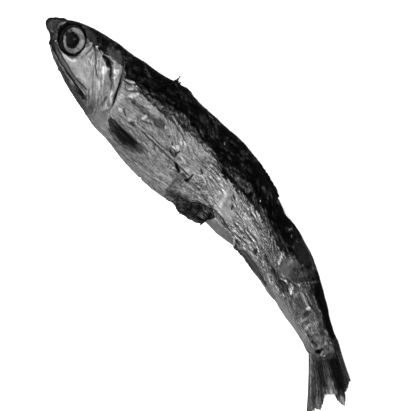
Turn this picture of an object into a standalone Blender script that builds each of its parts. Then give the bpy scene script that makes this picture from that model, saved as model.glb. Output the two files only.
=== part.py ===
"""One dried anchovy, lying on its right side with its left flank up.

The body, head, fins and belly flap are one shrunken piece of skin and flesh. The two eyes are separate
dried balls, each in its own socket. The part stands in metres with +Z up. X runs from snout to tail,
+Y points to the back of the fish, and the flattened right flank rests on the plane Z = 0.

Shapes are worked out in millimetres in the fish's own measures: s is the distance behind the snout along
the bent spine, t the distance across it, positive to the back, and z the height above the table.
"""

import math

import bmesh
import bpy
import numpy as np
from mathutils import Matrix, Vector

MM = 0.001

# The bend of the spine: straight from the snout, then turning towards the belly up to the tail.
HEAD_HEADING = 10.4
TAIL_HEADING = -17.1
BEND_START = 42.0
BEND_END = 84.0
TAIL_REACH = 110.0
SNOUT_X = -48.394
SNOUT_Y = -6.064

# Edges of the body, and its half thickness and mid height, at chosen distances behind the snout.
BACK_EDGE = (
    (0.0, 1.45), (0.3, 2.05), (2.0, 3.15), (4.0, 4.2), (8.0, 5.75), (12.0, 6.5), (20.0, 7.65),
    (24.0, 8.35), (28.0, 9.25), (34.0, 9.25), (43.0, 9.4), (48.0, 8.8), (56.0, 6.9), (60.0, 6.0),
    (64.0, 6.4), (72.0, 5.7), (80.0, 4.7), (86.0, 4.3), (87.6, 3.5), (88.6, 2.1),
)  # fmt: skip
BELLY_EDGE = (
    (0.0, 0.05), (0.3, -0.45), (1.5, -0.95), (2.3, -1.4), (2.9, -2.3), (6.0, -4.25), (12.0, -6.5),
    (18.0, -8.0), (24.0, -8.9), (36.0, -10.05), (39.5, -9.7), (44.0, -8.4), (48.0, -7.6), (56.0, -6.85),
    (60.0, -5.9), (68.0, -5.2), (76.0, -4.3), (82.0, -2.65), (86.0, -1.85), (87.6, -1.2), (88.6, 0.2),
)  # fmt: skip
HALF_THICKNESS = (
    (0.0, 0.35), (0.3, 0.65), (2.0, 1.25), (5.0, 1.9), (9.0, 2.4), (14.0, 2.8), (20.0, 3.0),
    (30.0, 3.25), (40.0, 3.35), (50.0, 3.05), (60.0, 2.55), (66.0, 2.25), (72.0, 2.0), (80.0, 1.6),
    (86.0, 1.0), (87.6, 0.6), (88.6, 0.3),
)  # fmt: skip
MID_HEIGHT = (
    (0.0, 2.3), (5.0, 2.6), (12.0, 2.95), (20.0, 3.1), (30.0, 2.95), (40.0, 3.05), (50.0, 2.8),
    (60.0, 2.3), (70.0, 1.9), (80.0, 1.5), (88.0, 1.25), (100.0, 1.1),
)  # fmt: skip
BODY_LENGTH = 88.6

# How square the cross section is: the head is slab-sided, the body round-backed with a thin belly keel.
HEAD_SQUARENESS = 3.2
BODY_SQUARENESS = 2.2
BACK_ROUNDNESS = 0.45
BELLY_ROUNDNESS = 0.60
HEAD_END = 22.0

# Spacing of the skin's rings and points.
NOSE_RINGS = (0.0, 0.15, 0.35)
HEAD_RING_STEP = 0.72
BODY_RING_STEP = 1.3
UPPER_SEGMENTS = 26
LOWER_SEGMENTS = 14

# Left flank up: +1 is the upper, left side and -1 the lower, right side.
LEFT = 1
RIGHT = -1

# Furrows sunk into the skin: points (s, t), depth and half width.
FURROWS = (
    ("upper jaw", ((3.0, -1.9), (8.0, -3.0), (15.3, -4.3)), 0.35, 0.5),
    ("mouth", ((2.8, -2.3), (5.0, -3.3), (10.0, -4.5), (16.0, -5.9)), 0.60, 0.5),
    ("cheek seam", ((12.9, 2.9), (15.5, 2.0), (18.5, -0.6), (18.9, -4.0)), 0.35, 0.6),
    ("crown seam", ((8.5, 4.2), (13.0, 4.0), (17.0, 4.6)), 0.20, 0.6),
    ("gill slit", ((15.8, 6.0), (18.0, 3.0), (20.0, -0.8), (20.9, -2.9)), 0.42, 0.5),
    ("shoulder crease", ((22.0, 3.0), (30.0, 2.8), (42.0, 3.4), (50.0, 1.8)), 0.28, 1.0),
    ("flank seam", ((29.0, -2.2), (37.0, -2.9), (41.5, -3.0)), 0.35, 0.9),
    ("gut crease", ((41.0, -4.0), (40.5, -6.0), (41.0, -8.6)), 0.35, 0.8),
    ("rear seam", ((52.0, -1.5), (60.0, -1.6), (70.0, -2.0)), 0.45, 0.9),
    ("rear upper fold", ((58.0, 1.6), (64.0, 1.2), (70.0, -1.6)), 0.42, 0.9),
    ("waist fold", ((73.4, 5.0), (72.2, 1.0), (70.5, -1.8)), 0.55, 1.0),
    ("stalk seam", ((73.5, 0.6), (77.0, 1.9), (84.0, 2.6)), 0.28, 0.8),
    ("belly keel line", ((21.0, -7.3), (30.0, -8.3), (39.0, -8.8)), 0.22, 0.7),
)
# Broad hollows where the flesh shrank, and swellings over bone: centre, half length, half width, height.
HOLLOWS = (
    ("gut hollow", (37.0, -4.6), (9.0, 3.0), -0.45),
    ("shoulder swelling", (27.0, 5.2), (9.0, 2.6), 0.30),
    ("flank swelling", (29.0, -0.2), (6.0, 2.0), 0.22),
    ("rear swelling", (54.5, -2.5), (4.5, 2.0), 0.30),
    ("waist swelling", (66.5, 3.4), (4.0, 2.2), 0.30),
    ("stalk hollow", (78.5, -0.4), (3.0, 1.6), -0.28),
    ("cheek plate", (10.5, -1.9), (3.6, 1.5), 0.18),
    ("lower jaw bar", (9.0, -5.0), (5.5, 0.9), 0.22),
)
# Rear edge of the gill cover, which stands proud of the shoulder behind it.
GILL_COVER_EDGE = (
    (-7.4, 18.2), (-5.5, 20.3), (-2.9, 21.1), (-0.8, 20.3), (1.5, 19.1), (4.4, 17.3), (6.2, 16.0),
)  # fmt: skip
GILL_COVER_STEP = 0.5
GILL_COVER_LIP = 0.8
GILL_COVER_FADE = 7.0
GILL_COVER_TOP = 6.6
GILL_COVER_BOTTOM = -7.6
GILL_COVER_END_BAND = 1.2
# Shrinkage wrinkles that run along the flank, with a slow drift and a weaker slanting set.
WRINKLE_HEIGHT = 0.10
WRINKLE_PITCH = 2.3
WRINKLE_DRIFT = ((0.9, 0.11, 0.6), (0.5, 0.23, 2.1))
WRINKLE_SLANT = (0.6, 0.9, 1.7)
WRINKLE_FADE = 6.0
# Relief fades where the body is thinner than this.
THIN_BODY = 1.5

# Eyes: each is a low dome with a sunken ring between the iris and the pupil, clear of its socket.
EYE_S = 5.95
EYE_T = 1.15
SOCKET_RADIUS = 3.1
SOCKET_DEPTH = 1.15
EYE_GAP = 0.3
EYE_SEGMENTS = 28
# Turned profiles, radius and height above the socket's rim, from the outside of the head inwards.
SOCKET_PROFILE = (
    (SOCKET_RADIUS + 0.1, 2.5), (SOCKET_RADIUS, 0.2), (SOCKET_RADIUS - 0.15, -0.6),
    (SOCKET_RADIUS - 0.9, 0.1 - SOCKET_DEPTH), (0.8, -SOCKET_DEPTH),
)  # fmt: skip
EYE_RADIUS = SOCKET_RADIUS - EYE_GAP - 0.15
EYE_BACK = 0.35 - SOCKET_DEPTH
EYE_PROFILE = (
    (0.7, 0.50), (1.45, 0.38), (1.6, 0.20), (2.3, 0.26), (EYE_RADIUS, 0.05),
    (EYE_RADIUS, -0.30), (EYE_RADIUS - 0.8, EYE_BACK + 0.2), (0.8, EYE_BACK),
)  # fmt: skip

# Tail fin: tips of its rays from the top edge to the bottom edge, and the line of their roots.
TAIL_TIPS = (
    (94.4, 4.3), (95.4, 3.6), (96.1, 2.7), (97.8, 2.05), (98.6, 1.5), (97.9, 0.7), (96.3, 0.2),
    (95.6, -0.2), (95.5, -0.9), (95.3, -1.5), (96.8, -2.3), (97.9, -3.4), (97.4, -4.3), (98.1, -5.5),
    (98.7, -6.8),
)  # fmt: skip
TAIL_ROOT_S = 85.6
TAIL_ROOT_TOP = 4.4
TAIL_ROOT_BOTTOM = -1.5
TAIL_STEPS = 8
TAIL_WAVE = 0.35
TAIL_WAVES_ACROSS = 1.2
TAIL_TIP_CURL = 0.2
FIN_THICKNESS = 0.55
FIN_ROOT_EXTRA = 1.15
FIN_TAPER = 0.35
RAY_RELIEF = 0.10

# Folded dorsal and anal fins: stations of their free edge along the body.
DORSAL_EDGE = ((43.0, 9.35), (48.0, 9.2), (52.0, 8.6), (56.3, 7.5), (57.0, 7.1))
ANAL_EDGE = ((57.6, -6.35), (59.4, -6.5), (61.5, -6.15), (64.0, -5.85), (68.0, -5.6), (71.0, -5.1))
FOLDED_FIN_DEPTH = 1.8
FOLDED_FIN_STATIONS = 13
FOLDED_FIN_HALF = (0.2, 0.4)
FOLDED_FIN_WAVE = 0.15

# Pectoral fins, pressed on the lower flank behind each gill cover.
PECTORAL_START = 22.2
PECTORAL_END = 32.8
PECTORAL_TOP = ((22.2, -5.0), (27.0, -4.9), (32.0, -5.0), (32.8, -5.5))
PECTORAL_BOTTOM = ((22.2, -5.4), (25.0, -7.2), (27.0, -7.6), (30.0, -6.9), (32.8, -6.0))
PECTORAL_GRID = (12, 5)
PECTORAL_PROUD = 0.30
PECTORAL_SUNK = 0.45
TABLE_CLEARANCE = 0.05

# Torn flap of belly skin: stations with the middle of the flap, its half width and half thickness.
FLAP = (
    (40.8, -8.8, 0.4, 0.35), (43.0, -8.3, 1.0, 0.55), (45.0, -8.2, 1.45, 0.7), (47.0, -7.3, 2.0, 0.75),
    (49.0, -6.8, 2.2, 0.75), (50.6, -6.6, 1.7, 0.65), (51.8, -6.1, 0.8, 0.35),
)  # fmt: skip
FLAP_LIFT = 0.9
FLAP_LIFT_RUN = 4.0
FLAP_RING = 12
FLAP_STEPS = 12
FLAP_CRUMPLE = ((0.22, 3, 1.3), (0.12, 0, 2.6))

# Stiff scrap of skin that stands on the back: place along the back, height and half width of each prong.
BACK_PRONGS = ((26.9, 0.95, 0.4), (28.1, 0.4, 0.6), (30.0, 0.35, 0.9))
PRONG_FOOT = 0.8
PRONG_HALF = 0.3
PRONG_TIP_HALF = 0.13

SKIN = ("dried_skin", (0.20, 0.20, 0.20), 0.42, 0.25)
EYE = ("dried_eye", (0.06, 0.06, 0.06), 0.25, 0.0)


def smooth(table, x):
    """Smooth curve through a table of (x, y) points, level with its chords' mean slope at each point."""
    xs, ys = np.array(table, float).T
    slopes = np.diff(ys) / np.diff(xs)
    tangents = np.concatenate([slopes[:1], (slopes[1:] + slopes[:-1]) / 2, slopes[-1:]])
    turns = np.concatenate([[False], slopes[1:] * slopes[:-1] <= 0, [False]])
    tangents[turns] = 0.0
    x = np.clip(np.asarray(x, float), xs[0], xs[-1])
    k = np.clip(np.searchsorted(xs, x, side="right") - 1, 0, len(xs) - 2)
    width = xs[k + 1] - xs[k]
    p = (x - xs[k]) / width
    start = (1 + 2 * p) * (1 - p) ** 2 * ys[k] + p * (1 - p) ** 2 * width * tangents[k]
    end = p**2 * (3 - 2 * p) * ys[k + 1] + p**2 * (p - 1) * width * tangents[k + 1]
    return start + end


def ease(x):
    """Smooth step from 0 to 1 as x goes from 0 to 1."""
    x = np.clip(x, 0.0, 1.0)
    return x * x * (3 - 2 * x)


SPINE_S = np.linspace(0.0, TAIL_REACH, 2201)
SPINE_HEADING = np.radians(
    HEAD_HEADING + (TAIL_HEADING - HEAD_HEADING) * ease((SPINE_S - BEND_START) / (BEND_END - BEND_START))
)
SPINE_STEP = SPINE_S[1] - SPINE_S[0]
SPINE_X = SNOUT_X + np.concatenate([[0.0], np.cumsum(np.cos(SPINE_HEADING[:-1]) * SPINE_STEP)])
SPINE_Y = SNOUT_Y + np.concatenate([[0.0], np.cumsum(np.sin(SPINE_HEADING[:-1]) * SPINE_STEP)])


def place(s, t, z):
    """Points of the part, in metres, from the fish's own measures in millimetres."""
    s, t, z = np.broadcast_arrays(np.asarray(s, float), t, z)
    heading = np.interp(s, SPINE_S, SPINE_HEADING)
    x = np.interp(s, SPINE_S, SPINE_X) - np.sin(heading) * t
    y = np.interp(s, SPINE_S, SPINE_Y) + np.cos(heading) * t
    return np.stack([x, y, z], axis=-1) * MM


def distance_to_line(s, t, line):
    """Distance of points (s, t) from a line of points."""
    nearest = np.full(np.broadcast(s, t).shape, np.inf)
    for (s0, t0), (s1, t1) in zip(line, line[1:]):
        along = ((s - s0) * (s1 - s0) + (t - t0) * (t1 - t0)) / ((s1 - s0) ** 2 + (t1 - t0) ** 2)
        along = np.clip(along, 0.0, 1.0)
        nearest = np.minimum(nearest, np.hypot(s - s0 - along * (s1 - s0), t - t0 - along * (t1 - t0)))
    return nearest


def gill_cover(s, t):
    """Height of the gill cover over the shoulder: full at its rear edge, fading forwards over the cheek."""
    ahead = smooth(GILL_COVER_EDGE, t) - s
    from_bottom = ease((t - GILL_COVER_BOTTOM) / GILL_COVER_END_BAND)
    inside = from_bottom * ease((GILL_COVER_TOP - t) / GILL_COVER_END_BAND)
    return GILL_COVER_STEP * inside * ease(ahead / GILL_COVER_LIP + 0.5) * ease(1 - ahead / GILL_COVER_FADE)


def wrinkles(s, t):
    """Long shallow wrinkles on the trunk, which fade into the head and the tail stalk."""
    drift = sum(height * np.sin(pace * s + start) for height, pace, start in WRINKLE_DRIFT)
    fade = ease((s - HEAD_END) / WRINKLE_FADE) * ease((TAIL_ROOT_S - s) / WRINKLE_FADE)
    share, pace_s, pace_t = WRINKLE_SLANT
    wave = np.sin(2 * math.pi * (t + drift) / WRINKLE_PITCH) + share * np.sin(pace_s * s + pace_t * t)
    return WRINKLE_HEIGHT * fade * wave


def relief(s, t):
    """Height of the skin's folds, hollows and plates above its plain section."""
    height = gill_cover(s, t) + wrinkles(s, t)
    for _, line, depth, half_width in FURROWS:
        height = height - depth * np.exp(-((distance_to_line(s, t, line) / half_width) ** 2))
    for _, (centre_s, centre_t), (reach_s, reach_t), rise in HOLLOWS:
        away = ((s - centre_s) / reach_s) ** 2 + ((t - centre_t) / reach_t) ** 2
        height = height + rise * np.exp(-away)
    return height


def skin_height(s, t, side):
    """Height z of the skin at (s, t) on the upper or the lower side, which is flat on the table."""
    s = np.asarray(s, float)
    back, belly = smooth(BACK_EDGE, s), smooth(BELLY_EDGE, s)
    across = np.clip((t - (back + belly) / 2) / ((back - belly) / 2), -1.0, 1.0)
    square = HEAD_SQUARENESS + (BODY_SQUARENESS - HEAD_SQUARENESS) * ease(s / HEAD_END)
    roundness = BELLY_ROUNDNESS + (BACK_ROUNDNESS - BELLY_ROUNDNESS) * (across + 1) / 2
    fullness = (1 - np.abs(across) ** square) ** roundness
    half = smooth(HALF_THICKNESS, s)
    folds = relief(s, t) * fullness * ease(half / THIN_BODY)
    raised = smooth(MID_HEIGHT, s) + side * (half * fullness + folds)
    return np.maximum(raised, 0.0)


def mesh_object(name, points, faces):
    """New object from points in metres and faces given by point numbers, with its faces turned outwards."""
    mesh = bpy.data.meshes.new(name)
    mesh.from_pydata([tuple(point) for point in points], [], faces)
    form = bmesh.new()
    form.from_mesh(mesh)
    bmesh.ops.recalc_face_normals(form, faces=form.faces)
    form.to_mesh(mesh)
    form.free()
    made = bpy.data.objects.new(name, mesh)
    bpy.context.scene.collection.objects.link(made)
    return made


def tube_faces(rings, ring_size):
    """Faces of a closed tube of rings, with a fan of triangles to one more point at each end."""
    faces = []
    for ring in range(rings - 1):
        for k in range(ring_size):
            following = (k + 1) % ring_size
            low, high = ring * ring_size, (ring + 1) * ring_size
            faces.append((low + k, low + following, high + following, high + k))
    front, rear = rings * ring_size, rings * ring_size + 1
    last = (rings - 1) * ring_size
    for k in range(ring_size):
        following = (k + 1) % ring_size
        faces.append((following, k, front))
        faces.append((last + k, last + following, rear))
    return faces


def tube(name, rings):
    """Closed solid through rings of points, each an array of the same length."""
    rings = np.asarray(rings)
    ends = np.stack([rings[0].mean(axis=0), rings[-1].mean(axis=0)])
    points = np.concatenate([rings.reshape(-1, 3), ends])
    return mesh_object(name, points, tube_faces(len(rings), rings.shape[1]))


def sheet(name, outer, inner):
    """Thin closed solid between two grids of points, both split into the same triangles."""
    rows, columns = outer.shape[:2]
    points = np.concatenate([outer.reshape(-1, 3), inner.reshape(-1, 3)])
    under = rows * columns
    faces = []
    for i in range(rows - 1):
        for j in range(columns - 1):
            a, b = i * columns + j, i * columns + j + 1
            c, d = a + columns, b + columns
            for corners in ((a, b, d), (a, d, c)):
                faces.append(corners)
                faces.append(tuple(under + corner for corner in reversed(corners)))
    rim = [j for j in range(columns)]
    rim += [i * columns + columns - 1 for i in range(1, rows)]
    rim += [(rows - 1) * columns + j for j in range(columns - 2, -1, -1)]
    rim += [i * columns for i in range(rows - 2, 0, -1)]
    for here, there in zip(rim, rim[1:] + rim[:1]):
        faces.append((there, here, under + here))
        faces.append((there, under + here, under + there))
    return mesh_object(name, points, faces)


def body():
    """Skin of body and head: rings from the snout to the end of the flesh."""
    head = np.arange(HEAD_RING_STEP, HEAD_END, HEAD_RING_STEP)
    trunk_rings = round((BODY_LENGTH - HEAD_END) / BODY_RING_STEP)
    trunk = np.linspace(HEAD_END, BODY_LENGTH, trunk_rings + 1)
    stations = np.concatenate([NOSE_RINGS, head, trunk])
    upper = np.linspace(0.0, math.pi, UPPER_SEGMENTS + 1)
    lower = np.linspace(math.pi, 2 * math.pi, LOWER_SEGMENTS + 1)[1:-1]
    angles = np.concatenate([upper, lower])
    side = np.where(angles <= math.pi, LEFT, RIGHT)
    rings = []
    for s in stations:
        back, belly = smooth(BACK_EDGE, s), smooth(BELLY_EDGE, s)
        t = (back + belly) / 2 + (back - belly) / 2 * np.cos(angles)
        rings.append(place(s, t, skin_height(s, t, side)))
    return tube("fish", rings)


def tail_fin():
    """Forked tail fin, a thin wavy fan whose ragged edge joins the tips of its rays."""
    rays = len(TAIL_TIPS)
    tips = np.array(TAIL_TIPS)
    share = np.linspace(0.0, 1.0, rays)
    root_t = TAIL_ROOT_TOP + (TAIL_ROOT_BOTTOM - TAIL_ROOT_TOP) * share
    along = np.linspace(0.0, 1.0, TAIL_STEPS + 1)[:, None]
    s = TAIL_ROOT_S + (tips[:, 0] - TAIL_ROOT_S) * along
    t = root_t + (tips[:, 1] - root_t) * along
    wave = TAIL_WAVE * along * np.sin(2 * math.pi * TAIL_WAVES_ACROSS * share + 0.5)
    curl = TAIL_TIP_CURL * along**2 * np.sin(0.9 * t)
    ridge = RAY_RELIEF * np.where(np.arange(rays) % 2 == 0, 1.0, -1.0) * ease(along * 3)
    middle = smooth(MID_HEIGHT, s) + wave + curl + ridge
    half = FIN_THICKNESS / 2 * (FIN_ROOT_EXTRA - FIN_TAPER * along)
    return sheet("tail_fin", place(s, t, middle + half), place(s, t, middle - half))


def folded_fin(name, edge, side_of_body):
    """Thin fin folded along the back (+1) or the belly (-1), from inside the body out to its free edge."""
    stations = np.linspace(edge[0][0], edge[-1][0], FOLDED_FIN_STATIONS)
    inwards = np.linspace(0.0, 1.0, 3)
    s = np.repeat(stations[:, None], len(inwards), axis=1)
    t = smooth(edge, s) - side_of_body * FOLDED_FIN_DEPTH * inwards
    middle = smooth(MID_HEIGHT, s) + FOLDED_FIN_WAVE * np.sin(s)
    half = np.interp(inwards, (0.0, 1.0), FOLDED_FIN_HALF)
    return sheet(name, place(s, t, middle + half), place(s, t, middle - half))


def pectoral_fin(name, side):
    """Pectoral fin as a thin leaf pressed on the skin."""
    rows, columns = PECTORAL_GRID
    s = np.repeat(np.linspace(PECTORAL_START, PECTORAL_END, rows)[:, None], columns, axis=1)
    top, bottom = smooth(PECTORAL_TOP, s), smooth(PECTORAL_BOTTOM, s)
    t = top + (bottom - top) * np.linspace(0.0, 1.0, columns)
    skin = skin_height(s, t, side)
    ray = RAY_RELIEF / 2 * np.cos(math.pi * np.arange(columns))
    outer = np.maximum(skin + side * (PECTORAL_PROUD + ray), TABLE_CLEARANCE)
    return sheet(name, place(s, t, outer), place(s, t, skin - side * PECTORAL_SUNK))


def belly_flap():
    """Crumpled flap of torn belly skin that folds up over the edge of the left flank."""
    stations = [station[0] for station in FLAP]
    angles = np.linspace(0.0, 2 * math.pi, FLAP_RING, endpoint=False)
    rings = []
    for s in np.linspace(stations[0], stations[-1], FLAP_STEPS + 1):
        middle, width, half = (smooth([(row[0], row[k]) for row in FLAP], s) for k in (1, 2, 3))
        crumple = 1 + sum(share * np.sin(lobes * angles + pace * s) for share, lobes, pace in FLAP_CRUMPLE)
        lift = FLAP_LIFT * ease((s - stations[0]) / FLAP_LIFT_RUN)
        t = middle + width * np.cos(angles)
        rings.append(place(s, t, smooth(MID_HEIGHT, s) + lift + half * np.sin(angles) * crumple))
    return tube("belly_flap", rings)


def back_prong(index, s, height, half_width):
    """Small three-sided scrap of skin that stands on the back edge and narrows to a blunt tip."""
    back, middle = smooth(BACK_EDGE, s), smooth(MID_HEIGHT, s)
    along, up = np.array([-1, 1, 0.5]), np.array([-1, -1, 1])
    foot = place(s + half_width * along, back - PRONG_FOOT, middle + PRONG_HALF * up)
    tip = place(s + PRONG_TIP_HALF * along, back + height, middle + PRONG_TIP_HALF * up)
    faces = [(0, 1, 2), (3, 5, 4), (0, 3, 4), (0, 4, 1), (1, 4, 5), (1, 5, 2), (2, 5, 3), (2, 3, 0)]
    return mesh_object(f"back_prong_{index}", np.concatenate([foot, tip]), faces)


def apply_modifiers(made):
    """Replaces an object's mesh with what its modifiers make of it."""
    graph = bpy.context.evaluated_depsgraph_get()
    mesh = bpy.data.meshes.new_from_object(made.evaluated_get(graph))
    made.modifiers.clear()
    made.data = mesh


def join(made, pieces):
    """Fuses pieces onto an object and removes them."""
    group = bpy.data.collections.new("fused_pieces")
    bpy.context.scene.collection.children.link(group)
    for piece in pieces:
        bpy.context.scene.collection.objects.unlink(piece)
        group.objects.link(piece)
    union = made.modifiers.new("fuse", "BOOLEAN")
    union.operation = "UNION"
    union.operand_type = "COLLECTION"
    union.collection = group
    apply_modifiers(made)
    for piece in pieces:
        bpy.data.objects.remove(piece)
    bpy.data.collections.remove(group)


def eye_frame(side):
    """Place and turn of an eye: its local Z points out of the head, square to the socket's rim."""
    rim = []
    for ds, dt in ((SOCKET_RADIUS, 0), (0, SOCKET_RADIUS), (-SOCKET_RADIUS, 0), (0, -SOCKET_RADIUS)):
        rim.append(Vector(place(EYE_S + ds, EYE_T + dt, skin_height(EYE_S + ds, EYE_T + dt, side))))
    middle = sum(rim, Vector()) / len(rim)
    outwards = (rim[0] - rim[2]).cross(rim[1] - rim[3]).normalized() * side
    return Matrix.Translation(middle) @ outwards.to_track_quat("Z", "Y").to_matrix().to_4x4()


def turned(name, profile, turn):
    """Closed solid of revolution: profile holds (radius, height) in millimetres from the top down."""
    angles = np.linspace(0.0, 2 * math.pi, EYE_SEGMENTS, endpoint=False)
    round_ring = np.stack([np.cos(angles), np.sin(angles), np.zeros(EYE_SEGMENTS)], axis=1)
    rings = [(round_ring * radius + (0.0, 0.0, height)) * MM for radius, height in profile]
    made = tube(name, rings)
    made.matrix_world = turn
    return made


def cut_socket(fish, side):
    """Sinks the round socket of one eye into the head."""
    cutter = turned("socket_cutter", SOCKET_PROFILE, eye_frame(side))
    cut = fish.modifiers.new("socket", "BOOLEAN")
    cut.operation = "DIFFERENCE"
    cut.object = cutter
    apply_modifiers(fish)
    bpy.data.objects.remove(cutter)


def finish(made, name, colour, roughness, metallic):
    """Smooth shading and one plain material."""
    material = bpy.data.materials.new(name)
    material.use_nodes = True
    surface = material.node_tree.nodes["Principled BSDF"]
    surface.inputs["Base Color"].default_value = (*colour, 1.0)
    surface.inputs["Roughness"].default_value = roughness
    surface.inputs["Metallic"].default_value = metallic
    made.data.materials.clear()
    made.data.materials.append(material)
    made.data.shade_smooth()
    made.data.set_sharp_from_angle(angle=math.radians(40))


def main():
    for old in list(bpy.data.objects):
        bpy.data.objects.remove(old)
    fish = body()
    pieces = [
        tail_fin(),
        folded_fin("dorsal_fin", DORSAL_EDGE, 1),
        folded_fin("anal_fin", ANAL_EDGE, -1),
        pectoral_fin("pectoral_left", LEFT),
        pectoral_fin("pectoral_right", RIGHT),
        belly_flap(),
    ]
    pieces += [back_prong(index, *prong) for index, prong in enumerate(BACK_PRONGS)]
    join(fish, pieces)
    for side in (LEFT, RIGHT):
        cut_socket(fish, side)
    finish(fish, *SKIN)
    for name, side in (("eye_left", LEFT), ("eye_right", RIGHT)):
        finish(turned(name, EYE_PROFILE, eye_frame(side)), *EYE)


main()
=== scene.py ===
"""Looks of one dried anchovy, which lies on its right side with its left flank up.

The skin, fins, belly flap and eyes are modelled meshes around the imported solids. Shapes are worked out in
millimetres in the fish's own measures: s is the distance behind the snout along the bent spine, t the
distance across it, positive to the back, and z the height above the table. Tones are grey levels out of 255.
"""

import math

import bpy
import numpy as np
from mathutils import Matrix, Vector


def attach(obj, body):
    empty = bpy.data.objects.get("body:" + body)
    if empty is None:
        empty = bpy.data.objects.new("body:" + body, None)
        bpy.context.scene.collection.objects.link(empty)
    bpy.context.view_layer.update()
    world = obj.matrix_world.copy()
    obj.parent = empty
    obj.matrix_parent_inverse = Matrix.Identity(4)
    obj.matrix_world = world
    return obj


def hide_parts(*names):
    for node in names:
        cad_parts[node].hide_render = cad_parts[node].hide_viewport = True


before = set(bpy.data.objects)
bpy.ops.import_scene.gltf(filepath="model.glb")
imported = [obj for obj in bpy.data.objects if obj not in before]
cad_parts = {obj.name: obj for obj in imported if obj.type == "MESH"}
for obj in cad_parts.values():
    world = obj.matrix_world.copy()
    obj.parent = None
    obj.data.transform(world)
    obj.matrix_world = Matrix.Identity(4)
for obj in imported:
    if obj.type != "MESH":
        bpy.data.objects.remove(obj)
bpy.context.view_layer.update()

MM = 0.001
WHITE = 255.0

# The bend of the spine, the edges of the body, its half thickness and its mid height, as in the solids.
HEAD_HEADING = 10.4
TAIL_HEADING = -17.1
BEND_START = 42.0
BEND_END = 84.0
TAIL_REACH = 110.0
SNOUT_X = -48.394
SNOUT_Y = -6.064
BACK_EDGE = (
    (-0.6, 0.9), (-0.42, 1.28), (-0.2, 1.54), (0, 1.71), (0.3, 2.08), (0.7, 2.39), (1.1, 2.64), (1.45, 3),
    (1.95, 3.31), (2.5, 3.38), (2.9, 3.66), (3.3, 3.97), (3.7, 4.2), (4.1, 4.42), (5.65, 5.1), (8, 5.85),
    (12, 6.66), (13.2, 6.95), (15, 7), (17, 7.24), (18, 7.37), (19.3, 7.7), (20.4, 7.86), (22, 7.97),
    (24, 8.34), (25, 8.55), (26.4, 9.05), (26.9, 9.5), (27.3, 9.42), (28, 9.37), (29.5, 9.75),
    (30.3, 9.72), (31.5, 9.43), (34, 9.25), (38, 9.36), (40.4, 9.33), (43, 9.47), (46, 9.39), (48, 8.95),
    (56, 6.97), (58, 6.55), (59, 6.3), (60, 5.98), (61.5, 6.24), (64.5, 6.34), (66, 6.16), (68, 6.23),
    (72, 5.77), (77, 5.1), (79.2, 4.88), (81, 4.5), (84, 4.38), (86.2, 4.46), (87.4, 4.2), (88, 3.5),
    (88.6, 2.1),
)
BELLY_EDGE = (
    (-0.6, 0.3), (-0.42, -0.08), (-0.2, -0.24), (0, -0.34), (0.3, -0.53), (0.55, -0.65), (0.9, -0.8),
    (1.5, -0.98), (1.9, -1.26), (2.2, -1.49), (2.5, -1.8), (2.68, -2.05), (2.8, -2.48), (3.1, -2.68),
    (3.5, -2.86), (4, -3.22), (4.5, -3.5), (4.85, -3.72), (5.15, -3.93), (5.4, -4.11), (5.7, -4.27),
    (6.2, -4.42), (6.8, -4.68), (7.35, -4.89), (7.75, -5.09), (7.95, -5.28), (8.5, -5.31), (9.2, -5.55),
    (10.1, -5.87), (12, -6.52), (15.7, -7.44), (18.7, -8.13), (20.5, -8.6), (22, -8.7), (25, -8.88),
    (26, -9.03), (28, -9.39), (30, -9.68), (34, -9.93), (36, -10), (37, -9.92), (38, -9.88), (40, -9.67),
    (41.5, -9.28), (44, -8.4), (48, -7.6), (51, -7.24), (54, -7.17), (55, -7.04), (57, -6.56),
    (60, -5.97), (62, -5.76), (64, -5.64), (68, -5.43), (70, -5.31), (72, -5.04), (74, -4.45), (76, -4.2),
    (78, -3.81), (80, -3.2), (82, -2.63), (84, -2.3), (86, -1.97), (87.6, -1.2), (88.6, 0.2),
)
HALF_THICKNESS = (
    (-0.42, 0.15), (0, 0.5), (0.3, 0.68), (2, 1.25), (5, 1.9), (9, 2.4), (14, 2.8), (20, 3), (30, 3.25),
    (40, 3.35), (50, 3.05), (60, 2.55), (66, 2.25), (72, 2), (80, 1.6), (86, 1), (87.6, 0.6), (88.6, 0.3),
)
MID_HEIGHT = (
    (0, 2.3), (5, 2.6), (12, 2.95), (20, 3.1), (30, 2.95), (40, 3.05), (50, 2.8), (60, 2.3), (70, 1.9),
    (80, 1.5), (88, 1.25), (100, 1.1),
)
BODY_LENGTH = 88.6
HEAD_SQUARENESS = 3.2
BODY_SQUARENESS = 2.2
BACK_ROUNDNESS = 0.45
BELLY_ROUNDNESS = 0.60
HEAD_END = 22.0
THIN_BODY = 1.5
LEFT = 1
RIGHT = -1

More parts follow.
